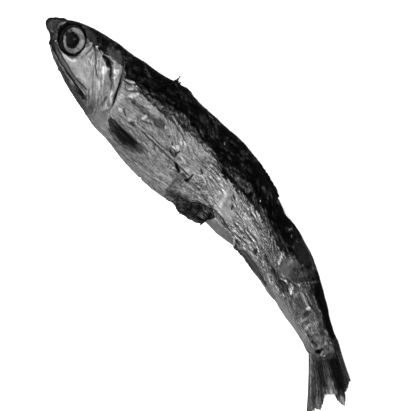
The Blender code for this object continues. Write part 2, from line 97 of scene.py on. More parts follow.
# Broad relief, as in the solids: furrows (points, depth, half width) and swellings (centre, reach, height).
FURROWS = (
    ("upper jaw", ((3, -1.9), (8, -3), (15.3, -4.3)), 0.35, 0.5),
    ("mouth", ((2.8, -2.3), (5, -3.3), (10, -4.5), (16, -5.9)), 0.6, 0.5),
    ("cheek seam", ((12.9, 2.9), (15.5, 2), (18.5, -0.6), (18.9, -4)), 0.35, 0.6),
    ("crown seam", ((8.5, 4.2), (13, 4), (17, 4.6)), 0.2, 0.6),
    ("gill slit", ((15.8, 6), (18, 3), (20, -0.8), (20.9, -2.9)), 0.42, 0.5),
    ("shoulder crease", ((22, 3), (30, 2.8), (42, 3.4), (50, 1.8)), 0.28, 1),
    ("flank seam", ((29, -2.2), (37, -2.9), (41.5, -3)), 0.35, 0.9),
    ("gut crease", ((41, -4), (40.5, -6), (41, -8.6)), 0.35, 0.8),
    ("rear seam", ((52, -1.5), (60, -1.6), (70, -2)), 0.45, 0.9),
    ("rear upper fold", ((58, 1.6), (64, 1.2), (70, -1.6)), 0.42, 0.9),
    ("waist fold", ((73.4, 5), (72.2, 1), (70.5, -1.8)), 0.55, 1),
    ("stalk seam", ((73.5, 0.6), (77, 1.9), (84, 2.6)), 0.28, 0.8),
    ("belly keel line", ((21, -7.3), (30, -8.3), (39, -8.8)), 0.22, 0.7),
)
HOLLOWS = (
    ("gut hollow", (37, -4.6), (9, 3), -0.45),
    ("shoulder swelling", (27, 5.2), (9, 2.6), 0.3),
    ("flank swelling", (29, -0.2), (6, 2), 0.22),
    ("rear swelling", (54.5, -2.5), (4.5, 2), 0.3),
    ("waist swelling", (66.5, 3.4), (4, 2.2), 0.3),
    ("stalk hollow", (78.5, -0.4), (3, 1.6), -0.28),
    ("cheek plate", (10.5, -1.9), (3.6, 1.5), 0.18),
    ("lower jaw bar", (9, -5), (5.5, 0.9), 0.22),
)
GILL_COVER_EDGE = (
    (-7.4, 18.2), (-5.5, 20.3), (-2.9, 21.1), (-0.8, 20.3), (1.5, 19.1), (4.4, 17.3), (6.2, 16),
)
GILL_COVER_STEP = 0.5
GILL_COVER_LIP = 0.8
GILL_COVER_FADE = 7.0
GILL_COVER_TOP = 6.6
GILL_COVER_BOTTOM = -7.6
GILL_COVER_END_BAND = 1.2
WRINKLE_HEIGHT = 0.10
WRINKLE_PITCH = 2.3
WRINKLE_DRIFT = ((0.9, 0.11, 0.6), (0.5, 0.23, 2.1))
WRINKLE_SLANT = (0.6, 0.9, 1.7)
WRINKLE_FADE = 6.0
TAIL_ROOT_S = 85.6

# Eyes and their sockets.
# Where the dark ring round each eye is painted: partly its own dark skin, partly painted shade of the
# socket's gap.
ORBIT_S = 5.84
ORBIT_T = 1.25
ORBIT_RADIUS = 3.22
ORBIT_OVAL = 0.34
ORBIT_TURN = math.radians(135.0)
EYE_S = 5.95
EYE_T = 1.15
SOCKET_RADIUS = 3.1
SOCKET_DEPTH = 1.15
SOCKET_WALL = 0.5
EYE_RADIUS = 2.65
EYE_BACK = 0.35 - SOCKET_DEPTH

# Fins, flap and scraps, at the places they have in the solids; the tips of the tail run from top to bottom.
TAIL_TIPS = (
    (94.4, 4.3), (94.75, 3.72), (95.6, 3.28), (96.1, 2.45), (97.5, 2.05), (98.85, 1.52), (98.1, 0.8),
    (97.15, 0.36), (95.75, 0.3), (95.8, -0.25), (95.5, -1), (95.2, -1.55), (96.65, -2.37), (97.9, -3.35),
    (97.3, -4.2), (98.1, -5.5), (98.72, -6.88),
)
TAIL_ROOT_TOP = 4.58
TAIL_ROOT_BOTTOM = -1.64
# How far the fin's middle is drawn in at its upper and its lower edge, and half its thickness from root
# to tips, in mm.
TAIL_PINCH = (0.104, -0.208)
TAIL_HALF = (0.31625, 0.165)
TAIL_WAVE = 0.35
TAIL_WAVE_START = 0.5
TAIL_WAVES_ACROSS = 1.2
TAIL_TIP_CURL = 0.2
TAIL_CURL_PACE = 0.9
DORSAL_EDGE = (
    (43, 9.42), (46, 9.38), (48, 9.12), (49, 9.08), (50, 8.93), (52, 8.56), (54, 8.13), (56, 7.64),
    (56.7, 7.35),
)
ANAL_EDGE = (
    (57.9, -6.15), (58.6, -6.25), (59.3, -6.45), (60.2, -6.22), (61.2, -6.2), (61.9, -6), (62.6, -6),
    (65, -5.95), (68, -5.52), (71, -5.12),
)
PECTORAL_START = 22.2
PECTORAL_END = 32.8
PECTORAL_TOP = ((22.2, -5.1), (27, -5.1), (31, -5.25), (32.8, -5.7))
PECTORAL_BOTTOM = (
    (22.2, -5.7), (23, -6.3), (24, -6.9), (25, -7.32), (26, -7.6), (27, -7.55), (28, -7.3), (29.5, -6.95),
    (31, -6.5), (32.8, -6),
)
FLAP_LIFT = 0.9
FLAP_LIFT_RUN = 4.0
# Scraps on the back: place along it, height and half width.
BACK_SCRAPS = ((27, 1.2, 0.62), (27.7, 0.45, 0.5), (30.3, 0.2, 0.3))

# Where the dark back ends, and how light the flank, the belly and the back are along the fish.
DARK_EDGE = (
    (-0.42, 1), (0, 1.2), (1.3, 2.35), (2, 2.85), (2.6, 2.9), (3.2, 3), (4, 3.6), (6, 4.2), (6.8, 3.6),
    (8, 3.25), (10, 3.15), (11, 2.95), (12, 3.35), (13.5, 3.7), (15, 4), (16.4, 4.2), (17.4, 4),
    (18.2, 3.4), (19, 3), (21, 3.05), (24, 2.7), (30, 2.75), (32, 3), (33, 3.3), (35, 3.25), (37, 3.15),
    (40, 3.15), (41.3, 3.3), (42.2, 3.45), (43, 3.1), (44, 2.7), (45, 2.35), (46, 1.95), (46.8, 1.75),
    (50, 1.75), (52, 1.9), (53.4, 1.75), (55, 1.95), (56.2, 2), (57.2, 1.6), (58.2, 1.3), (60, 1),
    (61, 1), (62, 1.1), (63, 1.3), (64, 1.4), (65, 1.2), (66, 1.7), (66.8, 2.4), (68, 3.1), (70, 3.6),
    (71.6, 4), (73, 3.8), (74, 3.3), (75, 2.95), (77, 2.9), (84, 3.1), (86, 3.5), (88.6, 3.2),
)
FLANK_TONE = (
    (0, 56), (2.4, 60), (4, 85), (7, 126), (10, 142), (14, 146), (18, 132), (22, 134), (28, 126),
    (34, 132), (40, 138), (46, 144), (50, 158), (54, 154), (60, 132), (65, 108), (68, 90), (72, 88),
    (76, 98), (80, 104), (84, 104), (86, 88), (88.6, 70),
)
BELLY_TONE = (
    (0, 40), (3, 30), (8, 52), (14, 56), (18, 68), (20, 104), (26, 108), (34, 104), (42, 100), (50, 100),
    (60, 100), (66, 112), (72, 120), (80, 122), (86, 100), (88.6, 80),
)
# Above the dark edge lies a band where silver and black mingle: its width and tone along the fish.
MINGLED_WIDTH = (
    (-0.42, 0.2), (4, 0.4), (6.5, 1.2), (8, 1.7), (9.5, 1.6), (10.3, 0.5), (11.6, 0.4), (12.6, 1.5),
    (15, 1.5), (16.4, 0.9), (18, 0.4), (22, 0.8), (25, 1), (29, 1.6), (33, 2.1), (35, 1.8), (37, 1.2),
    (40, 1), (42, 0.8), (44, 0.6), (46.5, 1.8), (48, 2.2), (52, 2.2), (54, 1.7), (57, 1.3), (60, 1.5),
    (61, 1.3), (64, 0.9), (66, 0.8), (74, 0.5), (88, 0.4),
)
MINGLED_TONE = (
    (-0.42, 34), (3, 28), (6, 42), (8, 52), (10, 42), (11.5, 36), (13, 66), (15, 70), (16.5, 58),
    (18, 40), (20, 42), (24, 56), (28, 60), (31, 68), (34, 62), (37, 62), (40, 64), (43, 56), (45, 48),
    (46, 26), (48, 44), (51, 62), (54, 44), (57, 50), (61, 58), (66, 40), (88, 54),
)
# How strongly the fine crumples show along the flank, and which way they slant, in degrees.
CRUMPLE = (
    (-0.42, 0.3), (6, 0.25), (8, 0.15), (12, 0.15), (14, 0.18), (20, 0.28), (23, 0.36), (34, 0.44),
    (40, 0.55), (46, 0.75), (50, 0.75), (56, 1.1), (66, 1.2), (69, 0.8), (80, 0.8), (88.6, 0.8),
)
SLANT = (
    (20, 0), (30, -3), (33, -22), (38, -28), (41, -12), (44, -2), (48, -10), (51, -28), (57, -24),
    (62, -14), (68, -10), (72, 0),
)
BACK_TONE = (
    (0, 36), (4, 26), (8, 30), (12, 30), (16, 26), (20, 14), (40, 13), (56, 11), (64, 18), (66, 36),
    (71, 36), (74, 16), (82, 12), (88.6, 22),
)

# Patches of tone, each with its name, centre, half length and half width, turn in degrees, level, strength
# in percent and height in hundredths of a millimetre.
# Those on both sides come first, then those that only the upper flank has. Where marks overlap, the later
# one lies on top.
BOTH_SIDES_PATCHES = (
    ("snout side", (1.2, 0.8), (1.1, 1.4), 10, 68, 75, 0),
    ("snout tip", (-0.2, 0.6), (0.4, 0.9), 0, 34, 80, 0),
    ("snout low light", (1.9, -0.3), (0.35, 0.25), 0, 100, 70, 3),
    ("nostril shade", (2.85, 2.7), (0.3, 0.6), 10, 32, 80, -4),
    ("snout dark rim", (3.6, -2.2), (1.4, 0.4), -35, 38, 70, -3),
    ("under eye skin", (3.5, -1.1), (1, 0.35), -35, 56, 70, 0),
    ("under eye pit", (3.5, -1.68), (0.36, 0.17), -5, 14, 90, -4),
    ("under eye pit rear", (4.5, -1.74), (0.36, 0.17), -10, 14, 90, -4),
    ("nostril", (2.45, 2.4), (0.17, 0.5), 8, 140, 85, 4),
    ("nostril glint", (2.65, 1.6), (0.22, 0.17), -40, 205, 90, 5),
    ("crown light", (7.3, 4.5), (0.9, 0.4), -10, 66, 80, 0),
    ("crown dusk", (8.4, 4.15), (1.3, 0.7), -8, 52, 80, 0),
    ("temple dab", (10.15, 3.15), (0.35, 0.4), 0, 26, 85, -4),
    ("temple dark", (11.9, 4.8), (1, 1.1), -15, 22, 85, -5),
    ("nape light", (14.6, 4.7), (2, 0.8), -4, 68, 80, 3),
    ("nape edge light", (12.6, 4.6), (0.4, 0.4), 0, 92, 60, 3),
    ("brow shade", (8.55, 2.9), (0.4, 0.6), -30, 66, 70, -2),
    ("under eye shade", (8.5, -1.4), (0.95, 0.25), 28, 84, 85, -2),
    ("temple shade", (10.7, 2.95), (0.7, 0.32), -10, 78, 75, -3),
    ("groove shade", (13.6, 2.9), (1.4, 0.42), 0, 62, 80, -3),
    ("shoulder dusk", (20.6, 2.15), (0.7, 0.35), 20, 90, 70, -2),
    ("shoulder dusk rear", (22.2, 2.3), (0.5, 0.25), 20, 96, 70, -2),
    ("jaw root dusk", (13.2, -4.15), (0.8, 0.2), -5, 66, 70, -2),
    ("throat dusk", (18.2, -5.3), (0.5, 0.4), -50, 84, 70, -2),
    ("lip shade", (5.7, -2.35), (0.7, 0.2), -20, 44, 70, -2),
    ("temple rear shade", (11.35, 2.2), (0.22, 0.55), 10, 96, 70, -3),
    ("gill fold shade", (16.9, -5.3), (1.1, 0.35), -55, 86, 70, -3),
    ("jaw root shade", (14.9, -4.75), (1.2, 0.22), -8, 84, 70, -2),
    ("gill foot shade", (19.2, -4.3), (0.4, 0.6), 0, 98, 70, -2),
    ("cheek plate", (11.2, -1.9), (3.6, 1.1), -18, 163, 85, 5),
    ("cheek plate front", (8.3, -2.35), (1.7, 0.5), -10, 172, 80, 5),
    ("cheek plate glint", (9.3, -1.75), (0.5, 0.3), 25, 208, 80, 4),
    ("cheek plate mid", (11.5, 0.2), (0.9, 0.5), -20, 204, 75, 0),
    ("behind eye band", (9.4, 1.4), (0.36, 1.7), 0, 160, 75, 5),
    ("behind eye band rear", (10.6, 1.3), (0.28, 1.4), 6, 152, 70, 5),
    ("behind eye smudge", (9.2, -1), (0.55, 0.2), 28, 108, 70, -3),
    ("opercle light", (15, 0.9), (0.95, 0.6), -45, 208, 85, 7),
    ("opercle glint", (14.85, 1.2), (0.45, 0.35), -45, 232, 90, 3),
    ("opercle rear light", (16.6, -0.8), (1.8, 0.55), -49, 170, 60, 5),
    ("shoulder plate light", (17.1, 2.5), (0.6, 0.45), -30, 215, 90, 7),
    ("shoulder plate", (18.3, 1), (1.9, 0.5), -52, 176, 75, 6),
    ("slit front light", (19.5, -1.6), (1.5, 0.4), -58, 170, 80, 6),
    ("opercle top", (16.2, 3.4), (0.9, 0.5), -20, 126, 70, 4),
    ("temple glint", (12.5, 2.4), (0.35, 0.9), 20, 172, 70, 5),
    ("gill blot", (19.1, -3.4), (0.35, 0.95), 8, 62, 80, -7),
    ("throat blot", (18.1, -6.2), (0.6, 1.2), 25, 68, 75, -5),
    ("jaw blot", (14.9, -5.55), (1, 0.38), -8, 22, 95, -8),
    ("jaw blot rear", (15.9, -5.8), (0.6, 0.34), 10, 26, 90, -6),
    ("jaw blot front", (13.4, -5.25), (0.9, 0.2), -10, 52, 70, -4),
    ("throat dark", (15.6, -6.8), (2.4, 0.45), -12, 60, 70, 0),
    ("isthmus", (20.6, -6.2), (1.3, 1.9), 0, 108, 85, 0),
    ("shoulder pale", (20.9, -1.3), (0.7, 2.4), 8, 160, 60, 0),
    ("behind gill dark", (19.5, 3.4), (0.8, 1), -40, 34, 80, -3),
    ("belly strip", (30, -9.3), (9.5, 0.55), -6, 108, 80, 0),
    ("lower flank pale", (34.5, -6.6), (3.6, 1.2), -3, 134, 60, 4),
    ("stalk belly", (78, -2.6), (5, 0.9), 14, 118, 50, 0),
    ("stalk back", (80, 4.3), (6.5, 1), -3, 12, 90, 0),
    ("nape front", (12.8, 5.8), (0.8, 0.9), 0, 58, 70, 2),
    ("cheek light", (11.9, -0.75), (1.2, 0.35), -18, 182, 75, 3),
    ("eye rear shade low", (8.35, -1.75), (0.45, 0.22), 20, 116, 75, -2),
    ("temple shade front", (10.3, 3.1), (0.35, 0.3), 0, 50, 85, -2),
    ("brow end shade", (8.5, 2.6), (0.35, 0.4), 0, 68, 75, -2),
    ("orbit front skin", (2.2, 1.6), (0.4, 0.7), 5, 112, 85, 0),
    ("cover top grey", (13.8, 1.6), (0.45, 0.4), -45, 134, 80, 0),
    ("groove end grey", (15.1, 3.1), (0.45, 0.25), -10, 82, 75, 0),
    ("throat grey", (16.4, -5.9), (0.6, 0.3), -40, 66, 75, -2),
    ("throat grey rear", (17.7, -6.3), (0.5, 0.4), -30, 60, 75, -2),
    ("slit top shade", (18.2, 3.35), (0.4, 0.25), -30, 44, 80, -2),
    ("temple grey", (12.25, 2.1), (0.4, 0.5), 10, 120, 75, 0),
    ("temple grey low", (12.75, 1.4), (0.5, 0.4), 0, 134, 85, 0),
    ("jaw root grey", (13.9, -4.15), (1.4, 0.28), -8, 96, 80, 0),
    ("cheek plate light", (12.6, -0.5), (0.5, 0.35), -30, 192, 75, 0),
    ("temple start dark", (10.2, 3.3), (0.4, 0.3), 0, 42, 85, -2),
    ("nape light rear", (13.2, 5.5), (0.5, 0.35), -10, 70, 80, 0),
    ("cover foot grey", (19.5, -4.8), (0.6, 0.5), -30, 100, 80, 0),
    ("eye rear dusk", (9.1, 2.35), (0.25, 0.6), -15, 78, 70, 0),
    ("cover foot grey rear", (19.5, -4.1), (0.45, 0.45), -30, 92, 80, 0),
    ("groove inner dark", (14.7, 2.4), (0.7, 0.4), -40, 26, 92, -10),
    ("jaw front light", (3.8, -2.9), (0.5, 0.15), -32, 112, 80, 2),
    ("mouth end grey", (12.6, -3.85), (0.6, 0.3), -10, 100, 75, 0),
    ("eye rear low grey", (9.2, 0), (0.25, 0.5), 20, 92, 70, 0),
    ("orbit front shade", (2.85, 0.9), (0.4, 0.9), 22, 20, 92, -5),
    ("jaw top shade", (5.6, -2.3), (0.8, 0.2), -25, 40, 80, -3),
    ("cover rear light", (17.1, 1.8), (1, 0.45), -42, 235, 90, 2),
    ("cover lower grey", (15.35, -2.5), (0.9, 0.45), -50, 116, 75, 0),
    ("cheek rear light", (13.2, -1.75), (0.5, 0.3), -40, 184, 70, 2),
    ("jaw root dusk rear", (15.7, -5.4), (0.4, 0.3), 0, 58, 75, -2),
    ("jaw low dark", (13.3, -5.72), (2, 0.33), -2, 36, 82, -3),
    ("jaw low dark front", (10.6, -5.45), (1.3, 0.2), -22, 48, 60, -2),
    ("temple dusk", (11.2, 2.1), (0.3, 0.4), 0, 104, 75, 0),
    ("cover foot dusk", (18.6, -5.6), (0.4, 0.4), 0, 86, 75, 0),
    ("groove rim grey", (14.4, 3.35), (0.7, 0.25), -15, 76, 70, 0),
    ("opercle front grey", (15.7, 1.35), (0.3, 0.3), -45, 124, 70, 0),
    ("opercle low grey", (17.1, -4.3), (1.2, 0.42), -52, 100, 75, -2),
    ("opercle rear grey", (18.4, -0.4), (1.1, 0.42), -58, 112, 85, -3),
    ("opercle foot grey", (18.35, -3.7), (0.55, 0.45), -50, 98, 85, -2),
    ("shoulder plate rim", (16.9, 1.6), (0.45, 0.35), -45, 150, 70, 2),
)
LEFT_PATCHES = (
    ("grey band", (27.2, 0.45), (4.8, 0.5), 0, 80, 92, -5),
    ("grey band end", (30.3, 0.85), (1.15, 0.85), 0, 78, 92, -7),
    ("grey band start", (23.6, 0.3), (0.5, 0.35), -20, 66, 85, -5),
    ("grey band core", (29.5, 0.2), (0.5, 0.2), -10, 62, 80, -3),
    ("band fleck", (31.75, 1.05), (0.28, 0.24), 0, 192, 85, 4),
    ("band glint", (33.25, 1.5), (0.4, 0.28), 20, 178, 80, 4),
    ("band pale rear", (32.9, 1.2), (0.8, 0.5), -40, 160, 60, 3),
    ("band nick", (33.3, 0.1), (0.4, 0.24), 0, 74, 85, -6),
    ("band under back", (26.5, 1.8), (4.2, 0.6), 0, 152, 75, 5),
    ("scale glint", (22.7, -2.5), (0.55, 0.4), 0, 192, 80, 5),
    ("scale pale", (25.3, -2.1), (0.6, 0.9), -10, 170, 70, 5),
    ("scale glint rear", (27.2, -0.5), (0.32, 0.62), -15, 198, 85, 5),
    ("wrinkle pale", (22.6, 1.25), (1.25, 0.42), 54, 208, 85, 6),
    ("flank dark dab", (26.3, -3), (0.85, 0.32), 8, 60, 85, -6),
    ("flank light dab", (31.7, 0.95), (0.3, 0.4), 0, 176, 70, 4),
    ("back light mottle", (32.2, 4.7), (2.6, 0.6), 5, 68, 80, 5),
    ("back light mottle rear", (40.9, 3.7), (1.7, 0.5), 0, 98, 80, 5),
    ("back mottle dusk", (38, 3.65), (1.3, 0.42), 0, 58, 85, 0),
    ("border dusk", (45.4, 2.35), (0.6, 0.32), -10, 40, 90, -2),
    ("rear border mottle", (64.4, 2.1), (2.1, 0.6), -10, 58, 80, 2),
    ("rear border mottle front", (62, 2.7), (1.6, 0.5), -10, 50, 70, 2),
    ("gut lower grey", (41.2, -7.4), (0.9, 1.2), 0, 74, 85, -3),
    ("gut crease shade", (40.8, -3.75), (0.75, 0.5), 0, 24, 95, -3),
    ("front shade 1", (24.6, -4.6), (0.6, 0.25), 0, 84, 70, -2),
    ("front shade 2", (26.9, -3.8), (0.6, 0.25), 0, 96, 70, -2),
    ("front shade 3", (27.8, -2.7), (0.6, 0.3), 0, 100, 70, -2),
    ("front shade 4", (26.6, 1.2), (0.6, 0.25), 0, 104, 70, -2),
    ("back dark gap", (34.4, 3.5), (0.9, 0.55), 0, 34, 85, -6),
    ("mid back smooth", (36.3, 7.3), (1.6, 0.7), -8, 42, 70, 3),
    ("waist of back", (51.4, 3.5), (1, 0.65), -15, 78, 85, 5),
    ("waist of back front", (48.2, 3.4), (2.2, 0.6), 0, 58, 75, 4),
    ("waist of back gap", (52.9, 3.1), (0.5, 0.5), 0, 14, 85, -4),
    ("waist of back rear", (53.6, 3.5), (0.9, 0.32), -50, 56, 80, 4),
    ("waist streak light", (53.9, 5.7), (0.9, 0.2), -12, 52, 80, 3),
    ("torn skin", (36.2, -0.4), (0.46, 0.38), -35, 206, 88, 8),
    ("torn skin tail", (35.85, -0.1), (0.24, 0.35), 15, 186, 80, 6),
    ("torn skin low", (35.65, -0.84), (0.6, 0.17), 14, 196, 85, 6),
    ("torn shade", (36.1, -1.65), (0.85, 0.42), -8, 72, 85, 0),
    ("torn pit rear", (36.7, -1.4), (0.17, 0.26), 0, 62, 70, -3),
    ("torn pit", (35.4, -1.4), (0.32, 0.16), -20, 66, 75, -3),
    ("torn pit light", (36, -1.5), (0.3, 0.16), -10, 118, 80, 2),
    ("torn front dusk", (34.9, -1.7), (0.7, 0.3), 0, 92, 70, -2),
    ("pale fold", (36.5, 0.9), (1, 0.6), -40, 174, 65, 6),
    ("pale blob 1", (37.6, 2.2), (0.5, 0.45), -30, 168, 60, 4),
    ("pale blob 2", (38.8, -1.4), (1, 0.35), -8, 174, 70, 4),
    ("pale blob 3", (39, -0.5), (0.6, 0.28), -10, 170, 60, 4),
    ("pale blob 4", (40.5, -2.25), (0.65, 0.5), 30, 166, 70, 4),
    ("pale blob 5", (40.2, 1.8), (0.5, 0.5), 0, 160, 50, 3),
    ("dim spot 1", (42.1, 0.7), (0.4, 0.3), 0, 92, 60, -4),
    ("dim spot 2", (44.4, 2.6), (1.2, 0.2), -6, 74, 70, -5),
    ("pale under back", (39.5, 2.4), (3.2, 0.7), 0, 152, 60, 3),
    ("gut shade", (40.7, -6.4), (0.75, 2.6), 3, 92, 75, -3),
    ("gut shade top", (41, -4.3), (1.7, 0.8), 0, 92, 70, -3),
    ("hind gut", (44, -5.2), (2.6, 0.9), -8, 116, 50, 0),
    ("flap shade", (43.4, -7.1), (2.4, 0.9), 20, 66, 70, -3),
    ("fin shade", (27.4, -6.1), (5.6, 1.9), -3, 88, 55, 0),
    ("silver bend", (48.75, -0.15), (0.4, 0.45), 20, 208, 85, 4),
    ("silver bend front", (48.35, -1.6), (0.7, 0.32), -75, 194, 75, 4),
    ("silver bend rim", (50.6, -3), (1.3, 0.3), -62, 178, 60, 2),
    ("silver front dab", (46.8, 0.9), (0.8, 0.5), 10, 176, 60, 3),
    ("smooth flank", (52, -2.9), (2.9, 1), -8, 154, 85, 2),
    ("smooth flank top", (51, -1), (1.6, 0.8), -62, 148, 70, 2),
    ("silver rear", (56.4, -0.9), (2, 0.9), -12, 164, 60, 3),
    ("silver rear low", (58.9, -1), (1.9, 0.55), -8, 178, 65, 3),
    ("rear low grey", (57.2, -3), (3.2, 0.9), -3, 112, 70, 0),
    ("under crack light", (66.3, -3.2), (1.4, 0.45), 0, 146, 95, 2),
    ("hind low grey", (45.6, -3.9), (4.4, 0.5), -3, 90, 80, -3),
    ("fin front grey", (29.2, -4.25), (1.4, 0.35), -2, 84, 80, -3),
    # Painted shadow on the skin below the pectoral fin.
    ("fin low shadow", (30.2, -8), (1.7, 0.32), -3, 88, 80, -2),
    ("belly grey", (35.2, -7.9), (1.7, 0.22), 3, 100, 70, -2),
    ("gill foot light", (21.3, -0.25), (0.55, 0.5), 0, 186, 75, 2),
    ("vent shade", (52.3, -4.55), (2, 0.42), -9, 90, 90, -3),
    ("anal notch", (60.2, -5.9), (0.7, 0.3), 0, 48, 85, 0),
    ("under crack light rear", (69.6, -3), (1.6, 0.3), -3, 132, 80, 2),
    ("crack core", (68.2, -2.05), (0.75, 0.16), -3, 40, 85, -4),
    ("waist low dusk", (66.2, -1.5), (0.8, 0.3), -20, 92, 60, 0),
    ("stalk middle light", (80, 0.2), (0.8, 0.6), 0, 120, 60, 2),
    ("tail root middle light", (84.6, 1), (1.2, 0.5), -20, 112, 80, 2),
    ("tail root top dark", (86.2, 3.5), (1.2, 0.5), 5, 40, 80, -2),
    ("gut mid grey", (41.9, -5.8), (0.7, 0.8), 0, 94, 80, -2),
    ("back edge fleck", (23.8, 3.6), (0.9, 0.3), 0, 92, 85, 3),
    ("waist rear dusk", (73.1, 3), (0.95, 1.6), -12, 40, 80, 0),
    ("rear band grey", (52.9, 1.4), (1.4, 0.4), -8, 96, 70, -3),
    ("rear mid shade", (56.5, 0.35), (3.4, 0.35), -5, 96, 70, -3),
    ("behind vent", (54.4, -6.1), (3.2, 0.75), 4, 102, 90, 0),
    ("behind vent light", (52.2, -5.6), (0.9, 0.3), 24, 138, 75, 0),
    ("behind vent dusk", (57, -5.6), (1, 0.45), -5, 90, 70, 0),
    ("vent triangle", (58.8, -5.1), (0.95, 0.34), -8, 48, 85, -8),
    ("vent triangle low", (58.95, -5.6), (0.4, 0.4), 0, 88, 80, -4),
    ("rear shade", (61.5, 0.6), (4.6, 0.9), -18, 98, 65, 0),
    ("rear nick", (62.4, -3.1), (0.5, 0.42), -22, 52, 82, -8),
    ("rear dab", (58.65, -3.35), (0.3, 0.22), 0, 44, 85, -6),
    ("rear upper dark", (61.5, 4.4), (3.4, 1.2), -8, 12, 70, 0),
    ("waist smooth", (68.6, -0.1), (1.6, 1), -25, 96, 65, 3),
    ("waist pale", (68, 1.6), (0.42, 0.8), 20, 124, 65, 3),
    ("waist pale front", (67.6, 2.25), (0.5, 0.28), -20, 112, 60, 3),
    ("waist light", (69.7, -0.9), (0.6, 0.25), 20, 146, 80, 4),
    # Broad pale start of the fold's painted highlight.
    ("fold highlight wedge", (66.1, 0.3), (1.3, 0.5), -50, 164, 85, 4),
    ("fold highlight wedge start", (65.6, 1.4), (0.4, 0.28), -30, 108, 60, 2),
    ("waist mottle", (71.1, 3.6), (0.6, 0.5), 0, 36, 70, 0),
    ("waist dark cut", (72.1, 2.8), (0.22, 1.5), -14, 34, 60, -4),
    ("belly shade", (71.6, -4.5), (2.2, 0.4), 4, 86, 70, 0),
    ("waist dusk", (71.3, 2.2), (1.7, 2.3), -12, 58, 60, 0),
    ("waist upper", (67.9, 4.5), (2.7, 1.15), -3, 35, 88, 3),
    ("waist upper pale", (70.2, 4.1), (0.25, 0.6), 0, 28, 60, 0),
    ("fold dark pad", (71.6, -1.95), (1.3, 0.76), -4, 60, 92, -5),
    ("under fold light", (71.1, -3.35), (1.7, 0.45), 4, 152, 85, 4),
    ("fold glint low", (73.5, -1.42), (0.3, 0.12), 0, 120, 70, 0),
    ("stalk low light", (76.2, -1.5), (0.8, 0.4), -10, 116, 70, 3),
    ("fold glint top", (72.75, 1.1), (0.32, 0.26), 30, 170, 90, 8),
    ("fold glint front", (71, -0.88), (0.34, 0.2), 10, 214, 90, 5),
    ("stalk V", (74.2, 0.2), (0.18, 0.75), -6, 130, 70, 4),
    ("stalk V rear", (74.65, -0.25), (0.18, 0.6), 8, 122, 60, 3),
    ("stalk low glint", (73.5, -2.5), (0.5, 0.25), -15, 152, 80, 5),
    ("stalk pool", (76.4, 0.05), (1.5, 0.6), 0, 66, 75, -4),
    ("stalk lit lump", (77.85, 1.2), (0.4, 0.65), -10, 196, 88, 7),
    ("stalk pit", (78.65, 0.4), (0.46, 0.85), 8, 50, 85, -8),
    ("stalk post", (79.65, -0.75), (0.26, 1.05), 2, 142, 85, 5),
    ("stalk post side", (79.15, -0.95), (0.25, 0.2), 0, 134, 70, 3),
    ("stalk gap", (80.4, -0.2), (0.35, 0.65), 0, 80, 60, -4),
    ("stalk lit scrap", (81.1, -0.2), (0.55, 0.16), -52, 170, 85, 5),
    ("stalk lit scrap low", (81.45, -0.8), (0.2, 0.2), 0, 150, 70, 3),
    ("stalk upper grey", (78.6, 2.45), (5.4, 0.5), -1, 55, 85, 0),
    ("tail root dark", (86.6, 0.5), (0.3, 0.8), 5, 18, 90, -8),
    ("tail root glint", (87.3, 0.5), (0.25, 0.5), 0, 158, 85, 7),
    ("tail root pale", (84.4, 1.7), (0.7, 0.6), -30, 130, 60, 5),
    ("tail root dusk", (83.9, -0.4), (0.9, 0.45), 0, 58, 75, -4),
    ("tail root light low", (84.9, -0.8), (0.35, 0.25), 0, 154, 80, 4),
    ("stalk low light rear", (79.5, -1.55), (0.8, 0.45), -10, 138, 80, 2),
    ("stalk low soft", (81.5, -1.6), (1.3, 0.45), -15, 118, 70, 0),
    ("tail root dark rear", (88.2, 1.2), (0.3, 0.3), 0, 26, 80, -5),
    ("tail root speck", (86.4, 1), (0.25, 0.2), 0, 30, 80, -5),
    ("shoulder grey", (21, 2.6), (0.3, 0.25), 20, 102, 70, -2),
    ("shoulder grey rear", (22.4, 2.1), (0.45, 0.3), 20, 92, 80, -2),
    ("band top grey", (26.4, 2.75), (0.45, 0.22), 0, 102, 70, 0),
    ("fold pale", (33.5, 1.3), (1.4, 0.45), -10, 170, 80, 3),
    ("seam grey", (34.3, -3.3), (0.8, 0.22), 0, 100, 65, -2),
    ("border grey", (40.8, 3.2), (0.6, 0.35), 0, 80, 85, 2),
    ("back grey", (47.2, 3.35), (0.8, 0.4), 0, 66, 80, 2),
    ("back black", (48.3, 5.1), (0.9, 0.4), 0, 12, 80, -2),
    ("back light", (27.4, 7), (0.9, 0.4), 0, 36, 70, 2),
    ("back light rear", (41.7, 7.8), (0.7, 0.35), 0, 36, 75, 2),
    ("hook top grey", (41.3, -2), (0.5, 0.3), 0, 124, 70, 0),
    ("hook front grey", (41.4, -2.05), (0.4, 0.25), 0, 118, 70, 0),
    ("hind border dark", (44.3, 3), (0.5, 0.3), 0, 38, 80, 0),
    ("hind border light", (44.7, 1.75), (0.5, 0.3), 0, 156, 80, 2),
    ("mid back dark", (33.3, 4.65), (0.5, 0.3), 0, 36, 80, -2),
    ("mid flank grey", (36.2, -0.7), (0.5, 0.25), 0, 122, 70, 0),
    ("smooth flank foot", (53.3, -4), (0.8, 0.25), -8, 112, 75, 0),
    ("rear belly light", (59.5, -5.2), (0.6, 0.22), 8, 120, 70, 2),
    ("rear back light", (59.7, 2.85), (0.5, 0.3), -10, 54, 75, 2),
    ("waist back dusk", (70.3, 3.2), (0.5, 0.35), 0, 30, 80, 0),
    ("waist back dusk rear", (72, 3.7), (0.4, 0.35), 0, 22, 80, 0),
    ("belly rear grey", (39.1, -5.1), (0.6, 0.3), 0, 96, 70, -2),
    ("bend rear grey", (51.7, 1.2), (0.6, 0.35), -20, 90, 80, 0),
    ("shoulder rear grey", (57.8, 2), (0.6, 0.3), -10, 54, 80, 0),
    ("waist top dark", (69.6, 1.8), (0.5, 0.4), 0, 44, 80, 0),
    ("back hollow", (49.6, 4.3), (0.5, 0.35), 0, 14, 85, -2),
    ("cut front grey", (38.1, -1.9), (0.5, 0.3), 0, 112, 70, 0),
